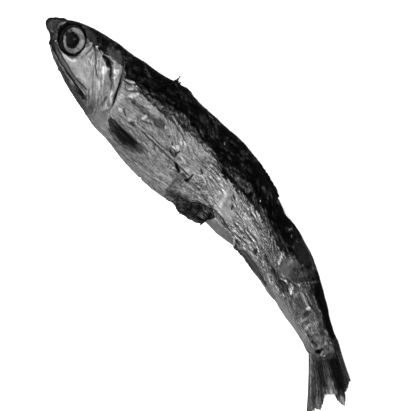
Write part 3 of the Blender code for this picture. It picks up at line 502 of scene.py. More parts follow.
    ("hind top grey", (43.3, -4.1), (0.8, 0.3), 0, 102, 70, 0),
    ("waist of back mid", (50.5, 3), (0.6, 0.35), 0, 78, 75, 2),
    ("rear bright end", (59.2, -0.7), (0.9, 0.45), -20, 178, 85, 2),
    ("waist front light", (48.8, 3.25), (0.6, 0.35), 0, 78, 80, 2),
    ("waist back light", (62.3, 4.45), (0.5, 0.35), 0, 42, 75, 2),
    ("hind low shade", (48.8, -3.5), (1.3, 0.3), -8, 118, 75, -2),
    ("bend light", (49.6, -1.2), (1.4, 0.75), -62, 166, 70, 2),
    ("bend front light", (48.4, -1.3), (0.85, 0.3), -78, 182, 70, 3),
    ("vent shade rear", (52.3, -4.98), (1.2, 0.3), -4, 90, 88, 0),
    ("rear top grey", (52.6, 1.45), (1.3, 0.36), -8, 84, 85, -2),
    ("rear low shade", (55.3, -2.6), (0.9, 0.3), -12, 116, 70, -2),
    ("rear low pale", (56.4, -3.95), (0.6, 0.25), -5, 124, 70, 0),
    ("rear bright", (56.9, -0.95), (2, 0.85), -10, 172, 85, 3),
    ("rear dark patch", (62.3, -3.1), (0.6, 0.4), -25, 48, 85, -8),
    ("rear low line shade", (60.7, -2.72), (0.9, 0.25), 0, 90, 85, -3),
    ("waist front grey", (65.4, 0.4), (0.5, 0.4), -40, 116, 65, 0),
    ("under fold grey", (66.4, -3.2), (0.6, 0.3), 0, 128, 70, 0),
    ("fold rear grey", (67.5, -1.25), (0.65, 0.42), -10, 124, 90, 0),
    ("waist top grey", (67.6, 2.6), (0.5, 0.3), 0, 62, 70, 0),
    ("fold band grey", (72.3, 0.75), (0.6, 0.25), 30, 106, 70, 0),
    ("glint side", (72.75, -0.55), (0.35, 0.25), -35, 134, 70, 3),
    ("stalk grey", (75.8, -0.4), (1.3, 0.5), 0, 76, 60, -2),
    ("stalk grey rear", (80.4, 0.9), (1.6, 0.5), -4, 116, 70, 3),
    ("stalk light rear", (81.7, 0.1), (0.5, 0.4), -40, 126, 70, 3),
    ("tail root lump", (84.4, 1.4), (0.5, 0.45), -20, 122, 70, 5),
    ("tail root lump rear", (85.4, 2.1), (0.5, 0.3), 30, 94, 65, 5),
    ("tail root top shade", (85.2, 2.8), (1, 0.45), -8, 56, 85, -2),
    ("tail root lump top", (87.2, 2.5), (0.55, 0.4), 0, 112, 65, 5),
    ("tail root hole", (84.1, -0.4), (0.3, 0.22), 0, 26, 85, -6),
    ("tail root hole front", (82.8, -0.75), (0.22, 0.2), 0, 48, 70, -4),
    ("tail root hole rear", (86.5, -0.3), (0.25, 0.3), 0, 24, 85, -6),
    ("stalk top grey", (81.4, 2.75), (0.7, 0.25), 0, 68, 70, 2),
)

# Places with fine parallel folds: name, centre, half length and half width, turn in degrees, pitch in mm
# and strength as a share of 1.
# Their crests are raised and painted lighter, their troughs sunk and painted darker: partly painted light
# and shade.
COMBS = (
    ("rear slant", (63.6, 0.3), (3, 1.9), -23, 0.5, 0.26),
    ("rear low", (63.4, -2.1), (3.2, 0.9), -7, 0.46, 0.2),
    ("rear belly", (58.6, -2.9), (4, 1.4), -3, 0.5, 0.2),
    ("rear top", (58.2, 1.2), (3.4, 0.9), -24, 0.5, 0.18),
    ("rear middle", (53.6, 0.1), (2.6, 1.5), -33, 0.55, 0.18),
    ("net", (44.9, 1.4), (2.8, 1.1), -4, 0.5, 0.2),
    ("hind flank", (45.6, -2.4), (3.4, 1.5), -12, 0.55, 0.14),
    ("front flank", (31.5, -3.4), (4.6, 1.5), -1, 0.6, 0.12),
    ("back rear", (57.5, 4.4), (6, 1.5), -27, 0.75, 0.35),
    ("back middle", (40.5, 6.6), (7, 2.2), -20, 1, 0.12),
)

# Places where the skin is drawn smooth: centre, half length and half width, turn in degrees.
SMOOTH_PLACES = (
    ((11.5, -1.9), (4.2, 1.3), -22),
    ((14.6, 4.7), (2.2, 0.9), -4),
    ((20.8, -6.4), (1.5, 1.2), 0),
    ((8.2, 4.3), (1.6, 0.8), -10),
    ((52, -3), (2.7, 1), -8),
    ((50.2, -1.4), (2.2, 0.9), -65),
    ((84.5, 0.9), (1.1, 0.8), 0),
    ((54.4, -6.1), (3.4, 0.8), 4),
    ((68.8, 0.4), (1.8, 2), 10),
    ((68, 4.4), (2.6, 1.2), -5),
    ((76, -3.5), (5, 0.45), 13),
)
# Ragged end of the flesh over the roots of the tail fin, as (t, s).
FLESH_END = (
    (-2, 85.4), (-1, 86.5), (-0.3, 87.4), (0.6, 88.3), (2.2, 88.4), (2.8, 87.9), (3.2, 86.4), (4.2, 84.6),
)

# Small bright flecks of skin, the brightest of them painted glints: place, half size, level.
FLECKS_AND_GLINTS = (
    ((10.63, 3.4), 0.27, 225), ((3.8, -1.35), 0.2, 140), ((4.5, -1.36), 0.24, 175),
    ((16.4, 3.5), 0.25, 150), ((42.4, 6.75), 0.14, 130), ((42.5, 6.5), 0.15, 110), ((42, 7.9), 0.2, 66),
    ((69.6, 3.6), 0.2, 80), ((65.2, 4.9), 0.2, 60), ((53.6, 5.8), 0.4, 55), ((55.1, 3.6), 0.17, 225),
    ((61.45, -0.2), 0.13, 190), ((63.85, -2.1), 0.18, 215), ((52.5, 0.75), 0.22, 215),
    ((54.7, 0.8), 0.22, 200), ((40, 0.35), 0.25, 178), ((36, 3.45), 0.22, 140), ((45, -0.1), 0.24, 215),
    ((44, 2.5), 0.18, 180), ((65, 2), 0.2, 100), ((60.8, 1.3), 0.18, 150), ((85.9, 0.1), 0.2, 165),
    ((82.6, 0.55), 0.25, 144), ((85.8, 3), 0.22, 140), ((87.9, 2.2), 0.22, 125), ((87.8, 0.9), 0.2, 140),
    ((26.3, 3.5), 0.25, 100), ((28.3, 3.5), 0.28, 96), ((29.6, 5.6), 0.26, 50), ((24.4, 4.4), 0.3, 46),
    ((28.3, -0.5), 0.16, 176), ((73.6, -2.55), 0.2, 142), ((73.2, -2.85), 0.2, 150),
    ((68.3, -3.2), 0.3, 160), ((69, -3.4), 0.2, 150),
)

# Lines in the skin, each with its name, points, half width, level, strength in percent and height in
# hundredths of a millimetre.
BOTH_SIDES_LINES = (
    ("upper lip line", ((5, -2.1), (7.06, -2.8), (8.9, -3.3), (10.9, -3.85), (12.4, -4.1), (13.6, -4.15),
     (15, -4.3)), 0.15, 42, 85, -8),
    ("snout top rim", ((-0.2, 1.05), (0.3, 1.6), (1.3, 2.45), (2.1, 3), (3.2, 3.45)), 0.2, 28, 85, 0),
    ("snout lower rim", ((-0.1, 0.1), (0.5, -0.4), (1.5, -0.78), (2.2, -1.25)), 0.17, 34, 80, 0),
    ("cheek plate edge", ((6.6, -2.3), (7.6, -2.38), (8.6, -2.15), (9.6, -1.75)), 0.22, 200, 85, 4),
    ("eye rear line", ((7.5, -1.9), (8.5, -1.5), (9.2, -0.75)), 0.2, 84, 82, -4),
    ("jaw plate", ((5.2, -2.55), (8, -3.5), (11, -4.25), (14.2, -4.65)), 0.26, 74, 75, 4),
    ("mouth line", ((3, -2.35), (4.6, -2.8), (6.1, -3.4), (7.5, -3.92), (9, -4.25), (11, -4.6), (13, -5),
     (15, -5.4)), 0.21, 13, 97, -14),
    ("lower jaw", ((4.2, -3.1), (5.6, -3.95), (8, -4.75), (11, -5.4), (13.6, -5.85)), 0.3, 84, 75, 5),
    ("lower jaw seam", ((6, -4.4), (9, -5.25), (12.5, -6.1)), 0.12, 58, 60, -4),
    ("chin edge", ((6.8, -4.6), (9, -5.45), (12, -6.4), (16, -7.45), (19.5, -8.25)), 0.22, 40, 75, 0),
    ("cheek groove", ((12.7, 2.85), (13.4, 3), (14.1, 2.93), (15.2, 2.5), (15.75, 2)), 0.37, 14, 95, -18),
    ("cheek groove tail", ((16.67, 0.82), (17.3, 0.5), (17.8, 0.2), (18.2, -0.3), (18.6, -1)),
     0.22, 62, 80, -8),
    ("gill slit", ((18, 2.95), (18.8, 1.6), (19.6, -0.1), (20.3, -1.5), (20.95, -3)), 0.24, 6, 97, -20),
    ("gill slit top", ((15.9, 5.9), (17.1, 4.3), (18.1, 2.9), (18.8, 1.6)), 0.17, 44, 85, -8),
    ("gill slit end", ((20.8, -2.8), (21.1, -3.6), (21.3, -4.4)), 0.16, 92, 60, -4),
    ("collar line", ((17, 4.9), (18.2, 3.2), (19.2, 1.5), (19.9, 0)), 0.14, 66, 75, -5),
    ("collar ridge", ((16.6, 5), (18, 3.25), (19, 1.6)), 0.13, 98, 70, 6),
    ("temple line front", ((10.02, 2.7), (10.16, 1.7), (10.05, 0.7)), 0.13, 54, 85, -6),
    ("temple line low", ((10.05, 0.4), (9.9, -0.1), (10, -0.5)), 0.13, 88, 70, -5),
    ("temple line", ((10.7, 2.9), (11.1, 1.4), (11.7, 0.3)), 0.11, 98, 60, -4),
    ("temple line rear", ((11.3, 3.3), (12, 1.8), (12.9, 0.9)), 0.13, 78, 60, -5),
    ("cheek line 1", ((10.3, 3.06), (11.25, 2.46), (12.25, 1.45), (12.8, 0.89), (13.1, 0.31),
     (13.75, -0.09), (14.3, -0.55), (14.85, -0.89), (15.4, -0.97)), 0.15, 66, 85, -7),
    ("cheek line 2", ((12.9, 0.1), (13.65, -0.8), (15.2, -2.55), (16.3, -3.9), (17.4, -5.4)),
     0.14, 92, 65, -5),
    ("cheek line 3", ((14.25, 0.7), (15.5, -0.4), (16.7, -1.9), (17.7, -3.5), (18.45, -5)),
     0.14, 98, 60, -6),
    ("cheek line 4", ((16.45, -0.3), (17.75, -1.95), (18.85, -3.55), (19.5, -5)), 0.14, 100, 60, -5),
    ("cheek line 5", ((15.3, -3.9), (16.6, -5.4), (17.7, -7.2)), 0.17, 74, 58, -6),
    ("cheek line 6", ((18.6, -4.7), (19.2, -6), (19.6, -7.3)), 0.2, 82, 53, -4),
    ("cheek line 7", ((16.4, -3.9), (17.5, -5.6), (18.2, -7.2)), 0.14, 88, 43, -4),
    # Foot of the dark ring round the eye: dark skin with painted shade of the socket's gap.
    ("orbit foot skin and shade", ((7.2, -1.55), (8, -1.3), (8.6, -1), (9.05, -0.45)), 0.27, 16, 95, -5),
    ("cheek groove mid", ((15.75, 2), (16.15, 1.5), (16.7, 0.82)), 0.33, 40, 92, -14),
    ("jaw light strip", ((4.6, -3.25), (6, -3.61), (7.6, -4.11), (9.15, -4.48), (10.8, -4.91),
     (12.45, -5.29)), 0.15, 124, 85, 3),
    ("jaw dark strip", ((7.35, -4.4), (8.35, -4.7), (9.5, -5.06), (10.9, -5.48), (12.3, -5.95)),
     0.19, 42, 85, -4),
    ("cheek light streak", ((12.2, -2.4), (13, -2.8), (13.85, -3.15)), 0.16, 184, 60, 3),
    ("cheek dark dot", ((12.7, 1.65), (13, 1.5)), 0.18, 70, 90, -4),
    ("cheek dark dot rear", ((13.65, 1.75), (13.9, 1.6)), 0.14, 100, 70, -4),
    ("cheek crease 1", ((11.3, 0.3), (11.9, 0.05), (12.4, -0.35)), 0.1, 108, 70, -3),
    ("cheek crease 2", ((11.8, -1.7), (12.6, -1.95), (13.4, -2.25)), 0.1, 118, 60, -3),
    ("cheek crease 3", ((11.5, -1.6), (12.7, -2.3), (13.8, -2.8)), 0.09, 122, 55, -3),
    ("cheek fleck 1", ((11.1, -0.6), (11.6, -0.8), (12, -1.1)), 0.17, 192, 75, 3),
    ("cheek fleck 2", ((11.8, 0.45), (12.2, 0.5), (12.6, 0.35)), 0.17, 198, 80, 3),
    ("cheek ridge", ((13.6, 1.3), (14.25, 0.65), (15.55, -0.85), (16.95, -2.6)), 0.22, 178, 60, 5),
    ("opercle ridge", ((15.2, 0.6), (16, -0.4), (16.8, -1.4)), 0.24, 182, 55, 6),
    ("opercle grey line", ((16.9, -0.8), (17.6, -1.9), (18.1, -3), (18.5, -3.9)), 0.42, 114, 75, -3),
)
LEFT_LINES = (
    ("wrinkle glint", ((19.3, 2.45), (20.1, 2.85), (21.1, 3.25)), 0.2, 186, 88, 8),
    ("wrinkle glint dark", ((19, 2.2), (20.2, 2.3), (21, 2.65)), 0.15, 36, 85, -6),
    ("wrinkle glint high", ((21.6, 3.05), (22.5, 2.95)), 0.14, 150, 70, 5),
    ("wrinkle glint rear", ((21.1, 1.4), (21.4, 1.9), (21.7, 2.3)), 0.2, 200, 90, 9),
    ("wrinkle hook", ((19.8, 1.9), (20.7, 1.15), (21.5, 1.4), (22.3, 2.1), (23.1, 2.9)), 0.16, 70, 75, -8),
    ("wrinkle low", ((19.9, 0.1), (21.2, 0.05), (22.6, 0), (23.3, 0.2)), 0.14, 96, 60, -5),
    ("back border", ((22, 2.9), (23.6, 2.78), (25.9, 2.76)), 0.16, 34, 72, -6),
    ("back border middle", ((26.8, 2.78), (29, 2.8), (31.2, 2.95)), 0.16, 34, 72, -6),
    ("back border light", ((24, 3.3), (27, 3.3), (30, 3.45)), 0.26, 74, 50, 4),
    ("pale streak 1", ((31, 3.5), (32.3, 3.3), (33.6, 2.9)), 0.26, 166, 90, 6),
    ("pale streak 2", ((31.4, 3.5), (32.4, 3.4), (34.2, 3), (35.6, 2.6)), 0.17, 136, 82, 5),
    ("dark streak 1", ((31.2, 2.9), (32.8, 2.75), (34.2, 2.35), (36.2, 1.75)), 0.17, 62, 80, -7),
    ("dark streak 2", ((33, 3.4), (34.4, 3), (35.8, 2.5)), 0.12, 72, 70, -5),
    ("fold streak 1", ((33.3, 1.9), (34.4, 1.1), (35.5, 0.2)), 0.17, 158, 60, 5),
    ("fold streak 2", ((34.2, 2.3), (35.6, 1.4), (37.2, 0)), 0.16, 164, 60, 5),
    ("fold line 1", ((33.7, 2), (34.8, 1.1), (35.9, 0.1)), 0.11, 100, 45, -4),
    ("fold line 2", ((35.2, 2.2), (36.4, 1), (37.4, -0.2)), 0.11, 100, 60, -5),
    ("pale upright", ((35.6, 2.9), (35.9, 3.4), (36.2, 3.8)), 0.22, 140, 65, 5),
    ("back border rear", ((45.6, 2.6), (47.2, 2.5), (48.6, 2.5), (49.7, 2.45)), 0.26, 13, 88, -8),
    ("back border rear end", ((50.5, 2.45), (51.6, 2.4), (53, 2.4), (54.6, 2.4)), 0.26, 13, 88, -8),
    ("shoulder streak", ((55, 2.9), (57.5, 2.75), (59.5, 2.5), (61.2, 2.1)), 0.16, 72, 55, 4),
    ("rear dark streak", ((62.2, 2.4), (63.5, 2.1), (64.6, 1.65), (65.6, 1.15)), 0.24, 30, 82, -7),
    ("waist smear", ((62.75, 5.6), (62.7, 5.2), (62.55, 4.7)), 0.24, 84, 75, 3),
    ("waist smear low", ((63.6, 4.65), (63.85, 4.5), (64.1, 4.25)), 0.2, 72, 70, 3),
    ("anal fin base", ((60.4, -5.75), (62.5, -5.5), (66, -5.2), (69.9, -4.75)), 0.42, 50, 90, -4),
    ("arc", ((27.1, -1.5), (27.7, -1.05), (28.5, -0.65), (29.4, -0.4)), 0.17, 72, 90, -7),
    ("arc light", ((27.3, -1.05), (28.1, -0.45), (28.9, -0.25)), 0.12, 156, 40, 3),
    ("small hook", ((23.1, -1.8), (23.4, -2.3), (23.9, -2.45), (24.3, -2.75)), 0.18, 68, 85, -7),
    ("scratch 1", ((26.1, -1.2), (26.6, -1.8), (27.2, -2.5)), 0.15, 92, 75, -5),
    ("scratch light", ((25.8, -1.3), (26.4, -1.9), (26.9, -2.4)), 0.13, 164, 60, 4),
    ("scratch low", ((24, -4.2), (25, -4.5), (26.2, -4.65)), 0.14, 84, 70, -5),
    ("scratch 2", ((22.3, -3.3), (23.6, -3.5), (25, -3.4)), 0.16, 92, 60, -5),
    ("scratch 3", ((28, -2), (29.8, -2.15), (31.4, -2.1)), 0.17, 78, 70, -6),
    ("flank seam line", ((30.4, -2.3), (32, -2.25), (33.6, -2.15), (36, -2)), 0.2, 74, 88, -6),
    ("flank seam low", ((28.6, -2.8), (31.5, -2.85), (34, -2.8), (36.4, -2.9), (39, -2.85),
     (41.8, -2.85)), 0.2, 58, 84, -6),
    ("flank seam ridge", ((28.7, -2.5), (30.6, -2.55), (33, -2.5), (35.4, -2.4)), 0.13, 158, 70, 5),
    ("flank seam third", ((29.2, -3.7), (30.2, -3.85), (31.2, -3.9)), 0.16, 82, 75, -5),
    ("fin top crease", ((30.4, -4.55), (31.6, -4.7), (33, -4.65)), 0.15, 84, 70, -5),
    ("fin end light", ((32.6, -4.9), (33.5, -5.5), (34.3, -5.9)), 0.3, 166, 60, 4),
    ("slant line 1", ((32, -2.9), (32.6, -3.35), (33.2, -3.85)), 0.16, 74, 85, -6),
    ("slant line 2", ((28.8, -3.6), (30.4, -4), (31.6, -4)), 0.15, 84, 60, -5),
    ("slant line 3", ((26, -2.4), (27.2, -3.1), (28.4, -3.5)), 0.12, 92, 50, -4),
    ("fin shadow", ((21.9, -4.95), (24, -5), (28, -4.95), (32.5, -5.05)), 0.15, 40, 70, -6),
    ("fin lower shadow", ((23.4, -6.9), (25, -7.42), (26.4, -7.72), (28, -7.5), (29.4, -7.2),
     (31, -6.75)), 0.22, 62, 80, -4),
    ("torn nick", ((34.7, -0.3), (35, -0.7)), 0.17, 40, 90, -10),
    ("torn edge", ((36.75, -0.3), (36.92, -0.75), (36.8, -1.1), (36.95, -1.6), (36.9, -2.2)),
     0.16, 34, 92, -12),
    ("torn edge low", ((35, -1.2), (35.6, -1.1), (36.3, -1.22), (36.8, -1.02)), 0.14, 46, 88, -8),
    ("torn slit", ((35.4, -1.85), (36, -2.04), (36.9, -2.2)), 0.19, 38, 92, -6),
    ("cut", ((37.7, -2.75), (38.2, -2.95), (38.7, -3.25)), 0.24, 12, 95, -12),
    ("cut rear", ((38.3, -3), (38.75, -3.25), (39.2, -3.4), (39.75, -3.72)), 0.34, 8, 97, -16),
    ("hook", ((41.95, -2.05), (42, -2.7), (42.1, -3.3), (42.05, -3.8)), 0.17, 14, 92, -12),
    ("hook barb", ((42.1, -3.45), (41.9, -3.8), (41.7, -4.1)), 0.4, 8, 97, -14),
    ("small cut", ((42.4, -0.4), (42.8, -0.52), (43.3, -0.75)), 0.18, 44, 88, -10),
    ("small cut tail", ((43, -0.8), (43.2, -1.3)), 0.12, 78, 60, -5),
    ("gut fold 1", ((40.95, -3.5), (41.05, -4.5), (41, -5.5)), 0.15, 72, 75, -6),
    ("gut fold 2", ((41.65, -4.4), (41.5, -5), (41.55, -5.5)), 0.16, 62, 80, -6),
    ("gut fold rear", ((40.35, -5.4), (40.2, -7), (40.25, -8.7)), 0.2, 88, 50, -3),
    ("gut blot", ((41.2, -7.3), (41.2, -7.9)), 0.26, 42, 85, -6),
    ("gut fold 3", ((38.3, -3), (37.9, -3.9), (38.1, -4.6)), 0.13, 88, 55, -5),
    ("belly line 1", ((32.6, -7.75), (34, -7.5), (36, -7.35), (38.6, -7.3)), 0.18, 82, 70, -6),
    ("belly line fin", ((31.4, -7.9), (32.6, -7.8), (33.4, -7.5)), 0.2, 74, 60, -4),
    ("belly line 2", ((26.5, -8.75), (30, -8.75), (34, -8.55), (38.4, -8)), 0.17, 92, 65, -5),
    ("belly line 3", ((28.6, -7.6), (30.4, -7.05), (32.4, -6.6)), 0.15, 96, 55, -5),
    ("belly line 4", ((33, -6), (36, -5.7), (39, -5.3)), 0.15, 112, 50, -4),
    ("belly line 5", ((36, -8.7), (38, -8.5), (39.8, -8.6)), 0.15, 92, 50, -4),
    ("hind line 1", ((43, -3.5), (44.4, -3.35), (45.4, -3.55), (47.4, -4.1)), 0.16, 84, 75, -6),
    ("hind line 2", ((42.2, -5.2), (44.2, -5.3), (46, -5)), 0.15, 86, 55, -5),
    ("hind line 3", ((43, -2.3), (45.6, -2.2), (49, -2.9)), 0.13, 104, 55, -4),
    ("net dark 1", ((42.9, 2.05), (44.2, 2.12), (45.6, 2.1)), 0.13, 72, 80, -5),
    ("net light 1", ((43, 1.7), (44.3, 1.75), (45.4, 1.65)), 0.15, 176, 85, 5),
    ("net dark 2", ((43.4, 1.25), (44.8, 1.32), (46, 1.15)), 0.13, 74, 85, -5),
    ("net light 2", ((43.2, 0.92), (44.6, 0.86), (45.8, 0.8)), 0.12, 160, 75, 4),
    ("net dark 3", ((44.6, 0.28), (45.6, 0.2), (46.9, 0.15)), 0.12, 78, 80, -5),
    ("net light 3", ((44.9, -0.12), (46, -0.17)), 0.12, 184, 80, 5),
    ("net dark 4", ((44.5, -0.42), (45.7, -0.47), (46.6, -0.5)), 0.12, 82, 75, -4),
    ("net dark 5", ((42.6, 0.75), (43.4, 0.5), (44.2, 0.55)), 0.14, 92, 70, -3),
    ("bend crest", ((48.7, -0.1), (49.35, -0.35), (49.85, -1.15), (50.2, -2.1), (50.5, -3.1)),
     0.46, 200, 75, 5),
    ("bend groove", ((49.5, 0.9), (50.15, -0.1), (50.75, -1.4), (51.2, -2.6), (51.8, -3.5)),
     0.36, 136, 80, -3),
    ("flank nick", ((51.95, -0.95), (52.25, -1.25), (52.6, -1.7)), 0.22, 56, 92, -8),
    ("flank nick upper", ((50.75, 0.45), (51.2, 0.2), (51.8, -0.05)), 0.22, 82, 85, -5),
    ("flap shadow", ((45.4, -6.1), (46.6, -5.3), (48, -4.85), (49.4, -4.25), (50.6, -4.4)),
     0.22, 48, 75, -8),
    # Painted shadow along the edge between the flank and the belly strip behind the vent.
    ("vent shadow line", ((50, -4.2), (52, -4.3), (53.5, -4.45), (55.2, -4.7), (57.4, -4.85)), 0.2, 68, 82, -8),
    ("vent lip", ((57.2, -4.9), (58.1, -5.55), (59, -6.2)), 0.15, 168, 88, 9),
    ("vent tip", ((58.9, -5.5), (59.4, -6), (59.8, -6.2)), 0.24, 34, 85, -5),
    ("anal ridge", ((60.2, -4.75), (61.2, -4.3), (62.4, -4.02), (63.9, -3.82), (65.6, -3.6), (67.4, -3.6),
     (69.8, -3.8)), 0.36, 160, 88, 6),
    ("anal ridge glint", ((60.3, -4.72), (60.65, -4.55), (61.1, -4.35)), 0.15, 184, 80, 4),
    ("anal ridge glint rear", ((62.9, -3.97), (63.8, -3.85)), 0.12, 178, 75, 4),
    ("anal root", ((60.2, -5.75), (61, -5.1), (62.5, -4.85), (66, -4.7), (69.6, -4.7)), 0.24, 48, 85, -6),
    ("rear streak 1", ((57.7, -2.35), (59, -2.2), (60, -2.2), (60.9, -2.27)), 0.15, 182, 80, 6),
    ("rear streak 2", ((60.5, -1.15), (61.5, -1.57), (62.7, -1.5)), 0.13, 178, 80, 5),
    ("rear streak 3", ((50.4, 1.2), (52, 0.2), (54, -0.8)), 0.14, 184, 60, 5),
    ("rear streak 4", ((54.3, 1.7), (55.6, 1.25), (57.8, 0.75)), 0.15, 156, 60, 4),
    ("rear line 1", ((50.2, 0.9), (52, -0.2), (53.4, -0.8)), 0.12, 92, 60, -5),
    ("rear line 2", ((53.4, 0.5), (55.5, 0.4), (57.6, 0.05), (60.2, -0.1)), 0.22, 98, 62, -5),
    ("rear line 3", ((54.4, -3), (56, -3.1), (58, -3.3)), 0.13, 78, 75, -6),
    ("rear line 4", ((56, -3.62), (57.4, -3.7), (58.4, -3.75)), 0.13, 76, 70, -5),
    ("rear line 5", ((60, 1.7), (62.8, 0.9), (65.4, 0.1)), 0.14, 76, 60, -5),
    ("rear line 6", ((62.6, 1.4), (64.6, 0.7), (66.2, -0.3)), 0.12, 72, 60, -5),
    ("rear line 7", ((57.2, -2.6), (59, -2.55), (61.4, -2.62)), 0.17, 80, 80, -5),
    ("rear line 8", ((60.4, -1.75), (61.4, -1.95), (63, -1.85)), 0.13, 78, 70, -5),
    ("rear line 9", ((58.8, -1.9), (59.8, -1.85), (60.8, -1.9)), 0.11, 92, 65, -4),
    ("rear streak 5", ((58.1, -0.55), (59.1, -1.15), (60.1, -1.5)), 0.2, 184, 72, 6),
    ("rear streak 6", ((56.6, 1.75), (57.4, 1.5), (58.1, 1.15)), 0.16, 166, 75, 5),
    ("rear streak 7", ((58.6, 0.75), (59.6, 0.4), (60.4, 0.2)), 0.2, 144, 60, 4),
    ("rear streak 8", ((61.7, -2.35), (62.7, -2.65), (63.7, -2.9)), 0.14, 160, 75, 5),
    ("rear streak 9", ((60.3, -3.65), (61.2, -3.62), (62.2, -3.72)), 0.13, 158, 75, 5),
    ("rear streak 10", ((57.6, -4.4), (58.5, -4.52), (59.6, -4.62)), 0.12, 162, 80, 5),
    ("rear streak 12", ((63.4, -1.55), (64.8, -1.45), (66, -1.55)), 0.14, 124, 70, 4),
    ("rear streak 13", ((55, -0.9), (56.2, -1.5), (57.3, -1.85)), 0.18, 172, 60, 4),
    ("rear crack", ((64.2, -2.25), (65.6, -2.2), (66.6, -2.14), (67.2, -2.1)), 0.24, 42, 82, -9),
    ("rear crack end", ((66.8, -2.1), (67.8, -2.1), (68.8, -2.12), (69.6, -2.15)), 0.13, 40, 80, -8),
    ("lower crack", ((66.6, -3.1), (67.6, -3.4)), 0.12, 70, 60, -5),
    ("lower crack rear", ((69.3, -3.3), (69.8, -3.5)), 0.16, 62, 75, -5),
    # Painted highlight along the crest of the fold.
    ("fold highlight", ((65.95, 0.75), (66.4, 0.25), (66.9, -0.2), (67.35, -0.6)), 0.23, 204, 90, 6),
    ("fold flank 1", ((64.9, 1.1), (65.6, 0.2), (66.2, -0.6)), 0.12, 142, 65, 5),
    ("fold flank 2", ((65.2, 0.1), (65.9, -0.6), (66.4, -1.1)), 0.13, 152, 70, 5),
    ("fold crease", ((66.9, 0.9), (67.4, 0.1), (67.95, -0.6)), 0.2, 82, 70, -7),
    ("fan line 1", ((66.6, -0.6), (68, -1.3), (69.6, -1.7)), 0.14, 64, 65, -6),
    ("waist curve", ((66.6, 3.35), (67.6, 3.15), (68.8, 3.3), (69.8, 3.7), (70.3, 4.4), (70.6, 4.9)),
     0.14, 22, 70, -5),
    ("waist cross line", ((72.5, 1.25), (72.95, 2.5), (73.25, 3.5), (73.5, 4.6), (73.55, 5.3)),
     0.14, 116, 90, 5),
    ("waist cross line 2", ((73.05, 1.6), (73.4, 2.5), (73.85, 3.6)), 0.12, 108, 85, 4),
    ("waist cross shadow", ((72.75, 1.7), (73.15, 2.7), (73.5, 3.7)), 0.1, 24, 85, -6),
    ("waist rear line", ((74, 1.6), (74.4, 2.6), (74.2, 3.8)), 0.13, 90, 60, 5),
    ("fold edge dark", ((70.6, -0.42), (71.3, -0.12), (72, 0.12), (72.7, 0.45), (73.6, 0.75)),
     0.11, 50, 72, -8),
    ("fold top light", ((70, -0.3), (70.9, 0.08), (71.8, 0.42), (72.4, 0.85)), 0.17, 114, 80, 4),
    ("fold under light", ((71.8, -0.2), (72.3, -0.25), (72.65, -0.6), (72.7, -1)), 0.3, 166, 90, 3),
    ("fold edge light", ((69.6, -1.55), (70.1, -1.5), (70.5, -1.15), (71, -0.85), (71.6, -0.75)),
     0.17, 160, 85, 6),
    ("fold rim dark", ((70.3, -2), (70.75, -1.35), (71.5, -1.05), (72.4, -1.12), (73, -1.5)),
     0.15, 34, 85, -10),
    ("fold glint band", ((72.55, 0), (72.85, -0.35), (73.25, -0.8), (73.8, -1.08)), 0.3, 228, 95, 9),
    ("fold glint spur", ((73.15, -0.62), (73.55, -0.45), (73.95, -0.5)), 0.16, 150, 80, 4),
    ("fold glint fork", ((74.25, 0.45), (74.05, 0.05), (74.3, -0.35), (74.55, -0.8)), 0.14, 142, 75, 4),
    ("fold glint hook", ((73.2, -2.7), (73.5, -2.45), (73.8, -2.5)), 0.12, 172, 85, 5),
    ("fold glint hook shade", ((73, -2.95), (73.4, -2.85), (73.7, -2.95)), 0.1, 40, 80, -5),
    ("stalk wavy line", ((74.1, 1.3), (75.4, 1.62), (76.5, 1.68), (77.4, 1.8), (78.2, 1.85)),
     0.15, 30, 85, -7),
    ("stalk pale line", ((74.2, 0.95), (75.2, 1.05), (76.2, 1.1), (77.4, 1.15)), 0.38, 128, 80, 5),
    ("stalk pale line rear", ((78.4, 1.72), (79.8, 1.65), (81.4, 1.5), (83, 1.45)), 0.26, 118, 70, 5),
    ("stalk fold 1", ((75.4, 2.45), (76.1, 2.65), (76.6, 2.85)), 0.15, 36, 75, -5),
    ("stalk low fold", ((74.9, -1.6), (76.4, -1.3), (77.9, -1.7)), 0.16, 96, 50, 4),
    ("tail root cord", ((82, 1.2), (83.4, 0.6), (84.6, 0.9)), 0.14, 142, 60, 5),
    ("tail root cord 2", ((84, 2.5), (85.4, 1.9), (86.2, 2.2)), 0.14, 134, 60, 5),
    ("tail root line", ((84.6, 1.6), (85.8, 0.9), (86.2, -0.2)), 0.12, 54, 35, -3),
    ("tail root bead", ((85.78, 0.5), (85.9, 0.1), (85.95, -0.25)), 0.12, 178, 85, 5),
    ("tail root bead rear", ((87.15, 0.85), (87.4, 0.45)), 0.13, 172, 85, 5),
    ("tail root bead mid", ((87.3, 0.35), (87.7, 0.6), (88, 0.85)), 0.12, 150, 80, 4),
    ("tail root bead low", ((84.8, -0.75), (85.1, -0.6)), 0.13, 158, 80, 4),
    ("stalk post top", ((79.55, 0.1), (79.6, -0.4), (79.5, -1.1)), 0.17, 150, 80, 4),
)


# Curves, noise and masks.


def smooth(table, x):
    """Smooth curve through a table of (x, y) points, level with its chords' mean slope at each point."""
    xs, ys = np.array(table, float).T
    slopes = np.diff(ys) / np.diff(xs)
    tangents = np.concatenate([slopes[:1], (slopes[1:] + slopes[:-1]) / 2, slopes[-1:]])
    turns = np.concatenate([[False], slopes[1:] * slopes[:-1] <= 0, [False]])
    tangents[turns] = 0.0
    x = np.clip(np.asarray(x, float), xs[0], xs[-1])
    k = np.clip(np.searchsorted(xs, x, side="right") - 1, 0, len(xs) - 2)
    width = xs[k + 1] - xs[k]
    p = (x - xs[k]) / width
    start = (1 + 2 * p) * (1 - p) ** 2 * ys[k] + p * (1 - p) ** 2 * width * tangents[k]
    end = p**2 * (3 - 2 * p) * ys[k + 1] + p**2 * (p - 1) * width * tangents[k + 1]
    return start + end


